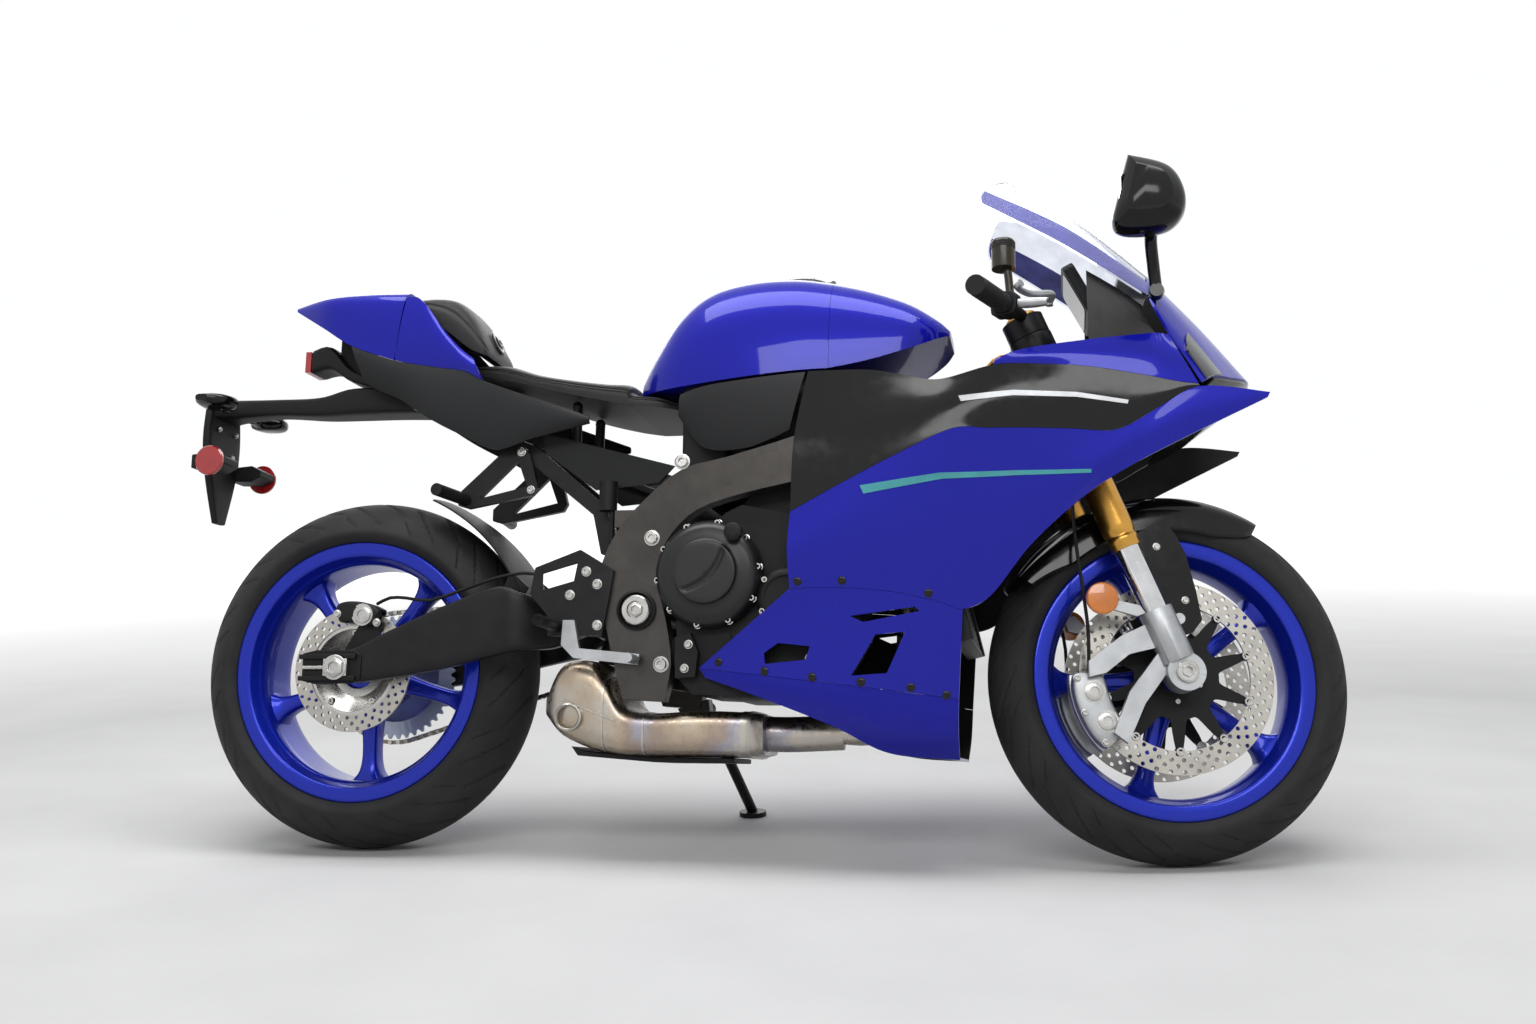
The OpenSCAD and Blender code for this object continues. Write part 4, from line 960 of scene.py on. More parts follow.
@dataclass
class Wheel:
    """One wheel: tyre, rim with five spokes, and its brake discs.

    A tread line has the columns start in pitches, sweep in radians, and the shares of the crown where it
    begins and ends.
    """

    name: str
    body: Body
    centre: tuple
    radius: float
    crown: float
    bead: float
    limit: float
    hub_r: float
    hub_half: float
    spoke_half: float
    phase: float
    pitch: int
    flange: float = 232.0
    seat_r: float = 218.4
    bore: float = 13.2
    groove: float = 4.5
    spokes: int = 5
    tread: Rows = ((0.0, 0.55, 0.10, 0.62), (0.5, 0.42, 0.30, 0.92), (0.25, 0.30, 0.66, 0.98))

    def at_hub(self, points: Array) -> Array:
        """Return points drawn about the hub, moved to the wheel's centre."""
        return points + np.array([self.centre[0], 0.0, self.centre[1]])

    def tyre(self) -> Surface:
        """Turn the tyre's section round the axle and press the tread into it.

        The crown is an arc, r = mid + c cos p, y = c sin p. A tread line on each side follows
        a = a0 + sweep (p / limit)^1.5, and sinks the arc by the groove's depth within about 3 mm of that line.

        Returns:
            The closed tyre.
        """
        turns, across = 840, 57
        limit = math.radians(self.limit)
        p = np.linspace(-limit, limit, across)
        mid = self.radius - self.crown
        t = np.linspace(0, 1, 9)[1:]
        end_r, end_y = mid + self.crown * math.cos(limit), self.crown * math.sin(limit)
        bulge = 3.0 * np.sin(np.pi * t)
        low_r = end_r + (self.flange + 2 - end_r) * t
        low_y = end_y + (self.bead + 5 - end_y) * t**1.6 + bulge
        foot = np.array([[self.flange + 1, self.bead - 0.3], [self.seat_r, self.bead - 0.3],
                         [self.seat_r, self.bead - 11]])
        arc = np.stack([mid + self.crown * np.cos(p), self.crown * np.sin(p)], -1)
        right = np.concatenate([np.stack([low_r, low_y], -1), foot])
        left = right[::-1] * np.array([1, -1])
        lining, few = self.crown - 12, p[6:-6:4]
        back = np.stack([mid + lining * np.cos(few), lining * np.sin(few)], -1)
        outline = np.concatenate([arc, right, back[::-1], left])
        a = np.linspace(0, 2 * np.pi, turns, endpoint=False)
        step = 2 * np.pi / self.pitch
        cut = np.zeros((len(outline), turns))
        share = np.abs(p) / limit
        for side in (-1, 1):
            for start, sweep, low, high in self.tread:
                line = (start + (0.5 if side > 0 else 0.0)) * step + sweep * share**1.5
                off = (a[None] - line[:, None] + step / 2) % step - step / 2
                dist = np.abs(off) * self.radius * 0.8
                gate = np.clip((share - low) / 0.05, 0, 1) * np.clip((high - share) / 0.05, 0, 1) * (np.sign(p) == side)
                cut[:across] = np.maximum(cut[:across], np.clip(3.1 - dist * 0.9, 0, 1) * gate[:, None])
        grid = circle(outline[:, :1] - self.groove * cut, outline[:, 1:], a)
        return Surface(self.at_hub(grid.reshape(-1, 3)), grid_quads(len(outline), turns, True, True)).outward()

    def rim(self) -> Surface:
        """Turn the rim's section, add the hub and carry five spokes out to the barrel.

        A spoke is a rounded oblong whose half width and depth are tables along the radius.

        Returns:
            The rim, hub and spokes.
        """
        b, f = self.bead, self.flange
        half = smooth(np.array([
            [204, 0], [204, b - 24], [208, b - 16], [217, b - 11], [218, b - 1], [f, b], [f + 1.5, b + 2.5],
            [f, b + 6.5], [222, b + 7], [210, b + 6], [206, b + 1], [200, b - 12], [195, b - 22], [194, 0],
        ]), 3)
        outline = np.concatenate([half[:-1], half[::-1][:-1] * np.array([1, -1])])
        parts = [revolve(outline, self.centre, 160)]
        h, w, bore = self.hub_r, self.hub_half, self.bore
        parts.append(revolve(((bore, -w), (h - 14, -w), (h - 10, -w + 3), (h - 6, -w + 16), (h, -w + 24), (h, w - 24),
                              (h - 6, w - 16), (h - 10, w - 3), (h - 14, w), (bore, w)), self.centre, 64))
        deep = self.spoke_half
        rows = smooth(np.array([
            [h - 12, 25, deep + 6], [h + 12, 20, deep + 3], [h + 50, 15.5, deep - 2], [150, 14.5, deep - 3],
            [176, 19, deep], [190, 29, deep + 5], [199, 42, deep + 9],
        ]), 6)
        c, s = rounded(28, 0.55)
        ring = np.stack(np.broadcast_arrays(rows[:, :1], rows[:, 2:3] * s, rows[:, 1:2] * c), -1)
        for k in range(self.spokes):
            a = math.radians(self.phase + 360 / self.spokes * k)
            x = ring[..., 0] * math.cos(a) - ring[..., 2] * math.sin(a)
            z = ring[..., 0] * math.sin(a) + ring[..., 2] * math.cos(a)
            parts.append(loft(self.at_hub(np.stack([x, ring[..., 1], z], -1))))
        return joined(parts)

    def rotor(self, inner: float, outer: float, y0: float, y1: float, columns: int, bands: int,
              hole: float) -> Surface:
        """Lay a drilled ring out as sheared polar cells, every other one with a round hole.

        A cell's border is a square mapped by radius and angle, and its hole is a circle of as many points.

        Args:
            inner: Inner radius.
            outer: Outer radius.
            y0: First face.
            y1: Second face.
            columns: Cells round the ring.
            bands: Cells across the ring.
            hole: Hole radius.

        Returns:
            The ring with its holes.
        """
        n = 24
        a = np.linspace(0, 2 * np.pi, n, endpoint=False) + np.pi / 4
        c, s = np.cos(a), np.sin(a)
        square = np.stack([c, s], -1) / np.maximum(np.abs(c), np.abs(s))[:, None]
        col, band = np.meshgrid(np.arange(columns), np.arange(bands), indexing="ij")
        col, band = col.ravel(), band.ravel()
        tall, wide = (outer - inner) / bands, 2 * np.pi / columns
        mid_r = inner + (band + 0.5) * tall
        mid_a = (col + 0.5) * wide
        open_cell = (col + band) % 2 == 0
        edge_r = mid_r[:, None] + square[:, 0] * tall / 2
        edge_a = mid_a[:, None] + square[:, 1] * wide / 2
        size = np.where(open_cell, hole, 0.05)[:, None]
        x0, z0 = mid_r[:, None] * np.sin(mid_a[:, None]), mid_r[:, None] * np.cos(mid_a[:, None])
        turn = mid_a[:, None]
        hole_x = x0 + size * (c * np.sin(turn) + s * np.cos(turn))
        hole_z = z0 + size * (c * np.cos(turn) - s * np.sin(turn))
        near, far = (np.stack([hole_x, np.full_like(hole_x, y), hole_z], -1) for y in (y0, y1))
        grid = np.stack([circle(edge_r, y0, edge_a), near, far, circle(edge_r, y1, edge_a)], 1)
        quad = grid_quads(4, n, wrap_m=True)
        quads = (quad[None] + (np.arange(len(col)) * 4 * n)[:, None, None]).reshape(-1, 4)
        skin = Surface(grid.reshape(-1, 3), quads)
        rims = []
        b = np.linspace(0, 2 * np.pi, columns * 6, endpoint=False)
        for r, turned in ((outer, False), (inner, True)):
            edge = np.stack([circle(r, y, b) for y in (y0, y1)])
            strip = Surface(edge.reshape(-1, 3), grid_quads(2, len(b), wrap_m=True))
            rims.append(strip if turned else strip.flipped())
        whole = joined([skin] + rims)
        return Surface(self.at_hub(whole.points), whole.quads).outward()

    def lobed(self, inner: float, valley: float, peak: float, lobes: int, y0: float, y1: float) -> Surface:
        """Make a flat ring whose outer edge swells to a lobe at each fixing: r = valley + rise cos^6.

        Args:
            inner: Inner radius.
            valley: Outer radius between lobes.
            peak: Outer radius at a lobe.
            lobes: Count of lobes.
            y0: First face.
            y1: Second face.

        Returns:
            The ring.
        """
        a = np.linspace(0, 2 * np.pi, 240, endpoint=False)
        out = valley + (peak - valley) * np.abs(np.cos(a * lobes / 2)) ** 6
        grid = np.stack([circle(r, y, a) for r, y in ((inner, y0), (out, y0), (out, y1), (inner, y1))])
        return Surface(self.at_hub(grid.reshape(-1, 3)), grid_quads(4, len(a), True, True)).outward()

    def buttons(self, radius: float, count: int, y0: float, y1: float, size: float, start: float = 0.0) -> Surface:
        """Set round headed fixings evenly on a circle.

        Args:
            radius: Circle's radius.
            count: How many.
            y0: Foot of the fixing.
            y1: Its top.
            size: Its radius.
            start: Angle of the first, in degrees.

        Returns:
            All fixings.
        """
        parts, rise = [], y1 - y0
        for k in range(count):
            a = math.radians(start) + 2 * math.pi * k / count
            at = (self.centre[0] + radius * math.sin(a), self.centre[1] + radius * math.cos(a))
            parts.append(revolve(((size, y0), (size, y0 + rise * 0.6), (size * 0.8, y1), (size * 0.45, y1),
                                  (size * 0.4, y0 + rise * 0.4)), at, 14, closed=False))
        return joined(parts)

    def build(self) -> None:
        """Place the tyre and the rim."""
        place(f"{self.name}_tyre_tread", self.tyre(), self.body, Paint.TYRE, [f"{self.name}_tyre"], crease=50)
        place(f"{self.name}_rim_cast", self.rim(), self.body, Paint.RIM, [f"{self.name}_rim"], crease=50)


@dataclass
class Studio:
    """Floor, lamps, world and camera.

    A lamp has the columns name, place, the point it faces, its two sides and its power in watts.
    """

    focal_px: float = 1557.3
    width_px: float = 1536.0
    eye: tuple = (1259.0, -2696.0, 133.0)
    yaw: float = math.radians(10.98)
    pitch: float = math.radians(-9.71)
    roll: float = math.radians(0.72)
    sensor: float = 36.0
    floor_half: float = 30.0
    fade_span: tuple = (2.5, 8.0)
    fill: float = 0.30
    white: float = 1.05
    lamps: Rows = (
        ("overhead", (0.0, -0.4, 4.0), (0, 0, 0.6), (4.5, 1.6), 150),
        ("camera_side", (0.6, -4.2, 3.4), (0, 0, 0.6), (4.5, 1.0), 90),
        ("far_side", (-1.0, 4.2, 2.8), (0, 0, 0.6), (4.5, 2.0), 60),
    )

    def camera(self) -> None:
        """Stand the camera where the photograph was taken, from its direction in the upright frame."""
        cy, sy, cp, sp = math.cos(self.yaw), math.sin(self.yaw), math.cos(self.pitch), math.sin(self.pitch)
        ahead = np.array([-sy * cp, cy * cp, -sp])
        right = np.array([cy, sy, 0.0])
        up = np.cross(right, ahead)
        cr, sr = math.cos(self.roll), math.sin(self.roll)
        right, up = right * cr + up * sr, up * cr - right * sr
        data = bpy.data.cameras.new("camera")
        data.sensor_width = self.sensor
        data.lens = self.focal_px / self.width_px * self.sensor
        data.clip_end = 200
        cam = bpy.data.objects.new("camera", data)
        m = np.eye(4)
        m[:3, 0], m[:3, 1], m[:3, 2] = STANCE.turned(right), STANCE.turned(up), -STANCE.turned(ahead)
        m[:3, 3] = STANCE.world(np.array(self.eye))
        cam.matrix_world = m.T.tolist()
        bpy.context.scene.collection.objects.link(cam)
        bpy.context.scene.camera = cam

    def lamp(self, name: str, at: tuple, aim: tuple, size: tuple, power: float) -> None:
        """Hang a soft oblong lamp.

        Args:
            name: The lamp's name.
            at: Its place.
            aim: The point it faces.
            size: Its two sides in metres.
            power: Its power in watts.
        """
        data = bpy.data.lights.new(name, "AREA")
        data.shape = "RECTANGLE"
        data.size, data.size_y = size
        data.energy = power
        lamp = bpy.data.objects.new(name, data)
        back = np.array(at, float) - np.array(aim, float)
        back /= np.linalg.norm(back)
        right = np.cross([0.0, 1e-3, 1.0], back)
        right /= np.linalg.norm(right)
        m = np.eye(4)
        m[:3, 0], m[:3, 1], m[:3, 2], m[:3, 3] = right, np.cross(back, right), back, at
        lamp.matrix_world = m.T.tolist()
        bpy.context.scene.collection.objects.link(lamp)

    def seen(self, tree: bpy.types.NodeTree) -> bpy.types.NodeSocket:
        """Tell the rays that show the background from those that light the machine.

        Args:
            tree: The node tree to add to.

        Returns:
            A socket of 1 for what the camera, a reflection or glass shows, else 0.
        """
        path = tree.nodes.new("ShaderNodeLightPath")
        total = path.outputs["Is Camera Ray"]
        for kind in ("Is Glossy Ray", "Is Transmission Ray"):
            add = tree.nodes.new("ShaderNodeMath")
            add.use_clamp = True
            tree.links.new(total, add.inputs[0])
            tree.links.new(path.outputs[kind], add.inputs[1])
            total = add.outputs["Value"]
        return total

    def fade(self, mat: bpy.types.Material) -> None:
        """Let a floor glow white with distance, so that it meets the background.

        Args:
            mat: The floor's material.
        """
        nodes, links = mat.node_tree.nodes, mat.node_tree.links
        coords = nodes.new("ShaderNodeTexCoord")
        reach = nodes.new("ShaderNodeVectorMath")
        reach.operation = "LENGTH"
        span = nodes.new("ShaderNodeMapRange")
        span.inputs["From Min"].default_value, span.inputs["From Max"].default_value = self.fade_span
        shader = nodes["Principled BSDF"]
        shader.inputs["Emission Strength"].default_value = 1.0
        glow = nodes.new("ShaderNodeMath")
        glow.operation = "MULTIPLY"
        links.new(coords.outputs["Object"], reach.inputs[0])
        links.new(reach.outputs["Value"], span.inputs["Value"])
        links.new(span.outputs["Result"], glow.inputs[0])
        links.new(self.seen(mat.node_tree), glow.inputs[1])
        links.new(glow.outputs["Value"], shader.inputs["Emission Color"])

    def floor(self) -> None:
        """Lay a wide pale floor."""
        side = np.linspace(-self.floor_half, self.floor_half, 3)
        x, y = np.meshgrid(side, side, indexing="ij")
        points = np.stack([x, y, np.zeros_like(x)], -1).reshape(-1, 3)
        mesh = bpy.data.meshes.new("floor")
        mesh.from_pydata(points.tolist(), [], grid_quads(3, 3)[:, ::-1].tolist())
        mat = Finish("pale_floor", (0.62, 0.62, 0.62), 0.85, scale=60, second=(0.58, 0.58, 0.58), mottle=3).material()
        self.fade(mat)
        mesh.materials.append(mat)
        obj = bpy.data.objects.new("floor", mesh)
        bpy.context.scene.collection.objects.link(obj)

    def world(self) -> None:
        """Fill the room with pale light, and show white behind the machine."""
        scene = bpy.context.scene
        scene.view_settings.view_transform = "Standard"
        world = bpy.data.worlds.new("studio")
        scene.world = world
        world.use_nodes = True
        nodes, links = world.node_tree.nodes, world.node_tree.links
        back = nodes["Background"]
        back.inputs["Color"].default_value = (0.95, 0.96, 0.97, 1)
        strength = nodes.new("ShaderNodeMapRange")
        strength.inputs["To Min"].default_value = self.fill
        strength.inputs["To Max"].default_value = self.white
        links.new(self.seen(world.node_tree), strength.inputs["Value"])
        links.new(strength.outputs["Result"], back.inputs["Strength"])

    def build(self) -> None:
        """Set up the room."""
        self.camera()
        self.floor()
        self.world()
        for row in self.lamps:
            self.lamp(*row)


@dataclass
class Fairing:
    """Painted and black panels round the front of the machine.

    Each table holds the left side's ribs, points x, y and z from the top edge down. Where two panels meet, the edge is
    written in one table, and the other panel keeps a gap from it. A vent is an outline in x and z.
    """

    wall: float = 4.0
    below: tuple = (0.0, 0.0, -0.6)
    above: tuple = (0.0, 0.0, 0.5)
    over_nose: tuple = (0.0, 0.0, 0.6)
    under_nose: tuple = (-2.0, 0.0, -6.4)
    side_upper: Rows = (
        ((812, 200, 568), (808, 206, 505), (812, 200, 441)),
        ((900, 214, 612), (896, 214, 530), (900, 206, 440)),
        ((990, 224, 655), (986, 220, 545), (985, 208, 432)),
        ((1080, 232, 693), (1068, 222, 555), (1060, 206, 415)),
        ((1140, 234, 692), (1118, 222, 550), (1094, 202, 404)),
        ((1200, 236, 690), (1170, 226, 560), (1140, 206, 426)),
        ((1270, 238, 686), (1236, 232, 596), (1200, 218, 500)),
        ((1340, 240, 682), (1302, 238, 622), (1265, 228, 560)),
        ((1400, 240, 712), (1365, 240, 660), (1330, 234, 607)),
        ((1470, 238, 748), (1446, 240, 702), (1420, 238, 655)),
        ((1576, 230, 737), (1574, 230, 733), (1572, 230, 729)),
    )
    side_edge: Rows = ((655, 166, 313), (760, 184, 300), (900, 196, 284), (1000, 196, 272), (1086, 188, 261),
                       (1140, 180, 250))
    belly_ribs: Rows = (
        ((660, 163, 304), (664, 160, 297)),
        ((760, 180, 280), (760, 172, 264)),
        ((890, 186, 246), (880, 160, 218)),
        ((985, 180, 214), (968, 130, 176)),
        ((1084, 172, 208), (1082, 112, 166)),
        ((1140, 160, 200), (1140, 100, 160)),
    )
    infill_ribs: Rows = (
        ((835, 171, 814), (816, 196, 690)),
        ((935, 174, 812), (918, 204, 712)),
        ((1000, 188, 797), (995, 214, 726)),
        ((1060, 206, 783), (1070, 226, 738)),
        ((1150, 228, 798), (1145, 236, 745)),
        ((1230, 235, 794), (1215, 240, 742)),
        ((1300, 240, 786), (1285, 242, 736)),
        ((1380, 241, 770), (1360, 243, 728)),
        ((1430, 240, 758), (1416, 242, 738)),
        ((1468, 238, 752), (1469, 238, 750)),
        ((1570, 230, 742), (1573, 230, 740)),
    )
    cowl_ribs: Rows = (
        ((1090, 210, 790), (1075, 218, 786)),
        ((1152, 229, 808), (1150, 229, 803)),
        ((1200, 232, 822), (1216, 235, 809)),
        ((1300, 232, 833), (1300, 238, 811)),
        ((1390, 224, 841), (1386, 236, 808)),
        ((1412, 220, 842), (1422, 232, 802)),
        ((1425, 217, 840), (1446, 229, 798)),
    )
    nose: Rows = (
        ((1411, 0, 988), (1492, 0, 895), (1568, 0, 800)),
        ((1404, 80, 978), (1482, 86, 888), (1556, 90, 792)),
        ((1398, 140, 958), (1466, 152, 868), (1526, 160, 780)),
        ((1402, 184, 912), (1452, 202, 836), (1496, 214, 770)),
        ((1430, 216, 840), (1453, 228, 800), (1475, 238, 757)),
    )
    chin_ribs: Rows = (
        ((1480, 0, 738), (1420, 0, 716)),
        ((1480, 90, 736), (1420, 90, 714)),
        ((1466, 156, 732), (1414, 152, 712)),
        ((1450, 206, 728), (1410, 198, 710)),
        ((1440, 226, 726), (1410, 214, 708)),
    )
    screen_ribs: Rows = (
        ((1184, 0, 1180), (1300, 0, 1092)),
        ((1170, 60, 1172), (1292, 68, 1086)),
        ((1140, 108, 1146), (1276, 122, 1066)),
        ((1130, 146, 1104), (1268, 168, 1014)),
        ((1190, 180, 1040), (1300, 200, 950)),
    )
    vents: Rows = (
        ((770, 318), (838, 324), (846, 346), (792, 352), (768, 336)),
        ((954, 364), (1002, 368), (972, 302), (914, 298)),
        ((912, 394), (1018, 408), (1026, 401), (934, 384)),
    )

    def side_lower(self) -> Array:
        """Return the lower side panel's ribs, from the upper panel's lower edge to its own."""
        return under(np.array(self.side_upper, float)[:6, -1], self.below, np.array(self.side_edge)[:, None])

    def infill(self) -> Array:
        """Return the black infill's ribs, down to the painted panel's top edge."""
        return over(np.array(self.side_upper, float)[:, 0], self.above, self.infill_ribs)

    def cowl(self) -> Array:
        """Return the upper cowl's ribs, down to the infill's top edge."""
        return over(self.infill()[3:10, 0], self.above, self.cowl_ribs)

    def side(self, rows: Rows, first: int, last: int, n: int = RIB_STEPS, m: int = 10) -> Surface:
        """Skin one side's ribs and give them the panel wall along y, then mirror the panel.

        Args:
            rows: Ribs of the left panel.
            first: First rib kept.
            last: Last rib kept; the others only shape the ends.
            n: Steps between ribs.
            m: Steps down a rib.

        Returns:
            Both panels.
        """
        face = fine_grid(rows, n, m)[first * n:last * n + 1]
        return shell(face, face - np.array([0.0, self.wall, 0.0])).pair()

    def across(self, rows: Rows, trim: bool, n: int = RIB_STEPS, m: int = 12) -> Array:
        """Skin ribs from one side of the machine to the other.

        Args:
            rows: Ribs from the middle to the left.
            trim: Whether the outermost ribs only shape the ends.
            n: Steps between ribs.
            m: Steps along a rib.

        Returns:
            The panel's fine grid.
        """
        face = fine_grid(both_sides(rows), n, m)
        return face[n:-n] if trim else face

    def build(self) -> None:
        """Place every panel."""
        slope = np.array([-self.wall, 0, -self.wall]) * 0.7
        skins = joined([self.side(self.side_upper, 0, 10), self.side(self.side_lower(), 0, 4)])
        vents = joined([plate(v, 150, 260) for v in self.vents]).pair()
        floor = np.array((((968, 125.4, 176), (968, -125.4, 176)), ((1082, 107.4, 166), (1082, -107.4, 166))), float)
        belly = under(np.array(self.side_edge), self.below, self.belly_ribs)
        pan = joined([self.side(belly, 0, 4), shell(floor, floor + np.array([0, 0, self.wall]))])
        nose = self.across(self.nose, False)
        for name, panel, paint, node, cuts in (
            ("side_panels", skins, Paint.BLUE, "side_fairing", vents),
            ("belly_panels", pan, Paint.BLUE, "belly_pan", None),
            ("infill_panels", self.side(self.infill(), 0, 9), Paint.BLACK, "side_infill", None),
            ("upper_cowl_panels", self.side(self.cowl(), 1, 6), Paint.BLUE, "upper_cowl", None),
            ("nose_panel", shell(nose, nose + slope), Paint.BLUE, "nose", None),
        ):
            place(name, panel, Body.CHASSIS, paint, [node], lining=Paint.TEXTURED, cuts=cuts)
        ribs = np.array(self.nose, float)
        chin = self.across(under(ribs[:, -1], self.under_nose, self.chin_ribs), True)
        place("chin_panel", shell(chin, chin + np.array([-1.0, 0, 3])), Body.CHASSIS, Paint.BLACK, ["chin"])
        face = self.across(over(ribs[:, 0], self.over_nose, self.screen_ribs), True)
        place("screen", shell(face, face + slope * 0.9), Body.CHASSIS, Paint.GLASS, ["windscreen"])
        edge, rise = face[-8:], np.array([0.3, 0.9, 0.4])
        band = shell(edge + rise, edge + rise * 0.2).pair()
        place("screen_band", band, Body.CHASSIS, Paint.TINT)


@dataclass
class Tank:
    """Tank, the cover ahead of it, knee panels and the filler lid.

    The tank and its cover have the columns x, half width, floor and top, and the knee panel has ribs.
    """

    tank: Rows = ((516, 62, 806, 842), (545, 98, 805, 890), (590, 126, 805, 958), (645, 142, 808, 998),
                  (720, 152, 814, 1014), (800, 156, 820, 1014), (866, 150, 824, 1004))
    cover: Rows = ((866.5, 150, 824, 1004), (930, 140, 838, 988), (1000, 120, 862, 962), (1046, 92, 884, 932),
                   (1066, 60, 898, 914))
    knee: Rows = (((602, 128, 792), (600, 128, 752)), ((650, 150, 800), (650, 150, 692)),
                  ((720, 162, 806), (720, 166, 684)), ((790, 168, 811), (770, 174, 697)),
                  ((830, 170, 813), (805, 178, 712)))
    lid: tuple = (800.0, 1014.0)
    bolts: int = 6
    bolt_ring: float = 38.0

    def cap(self) -> tuple[Surface, Surface]:
        """Turn the lid about its upright axis, with a rim of bolts.

        Returns:
            The lid and its bolts, drawn along z.
        """
        x, z = self.lid
        stand = stood(UPRIGHT, (x, 0, z - 3.2))
        disc = revolve(((4, 8), (30, 8), (32, 9.5), (44, 9.5), (47, 8), (50, 4), (50, -13), (4, -13)), (0, 0), 72,
                       closed=False)
        key = revolve(((13, 8), (13, 11), (11, 12.5), (3, 12.5), (3, 9)), (0, 0), 32, closed=False)
        barrel = tube(np.linspace([x + 54, -14, z + 4], [x + 54, 14, z + 4], 3), 5, 20)
        leaf = plate(((x + 36, z - 2), (x + 36, z + 6), (x + 52, z + 6.5), (x + 52, z + 0.5)), -14, 14)
        heads = []
        for k in range(self.bolts):
            a = 2 * math.pi * (k + 0.5) / self.bolts
            at = (self.bolt_ring * math.sin(a), self.bolt_ring * math.cos(a))
            heads.append(revolve(((4, 9.5), (4, 12), (2.5, 12.5), (1.6, 11)), at, 12, closed=False).moved(stand))
        return joined([disc.moved(stand), key.moved(stand), barrel, leaf]), joined(heads)

    def build(self) -> None:
        """Place the tank, its cover, the knee panels and the lid."""
        x, z = self.lid
        well = revolve(((56, z - 14), (56, z + 60)), (0, 0), 72, closed=False).moved(stood(UPRIGHT, (x, 0, 0)))
        low = plate(((604, 646.3), (684, 646.3), (684, 694), (854, 694), (854, 826), (604, 826)), -116, 116)
        place("tank_skin", arched(self.tank, 10, 64, 0.8), Body.CHASSIS, Paint.BLUE, ["fuel_tank"], cuts=well)
        place("tank_floor", low, Body.CHASSIS, Paint.TEXTURED, bevel=6)
        place("tank_front_cover", arched(self.cover, 10, 64, 0.8), Body.CHASSIS, Paint.BLUE, ["tank_cover"])
        place("knee_pads", bowed(fine_grid(self.knee, RIB_STEPS, 8), 5.0), Body.CHASSIS, Paint.MATTE, ["knee_panels"])
        ring = revolve(((51, -10), (55, -10), (55.5, -1), (54, 0.5), (51, -1)), (0, 0), 72)
        place("filler_ring", ring.moved(stood(UPRIGHT, (x, 0, z - 3))), Body.CHASSIS, Paint.BLACK)
        lid, bolts = self.cap()
        place("filler_cap", lid, Body.LID, Paint.BLACK, ["filler_lid"])
        place("filler_bolts", bolts, Body.LID, Paint.STEEL)


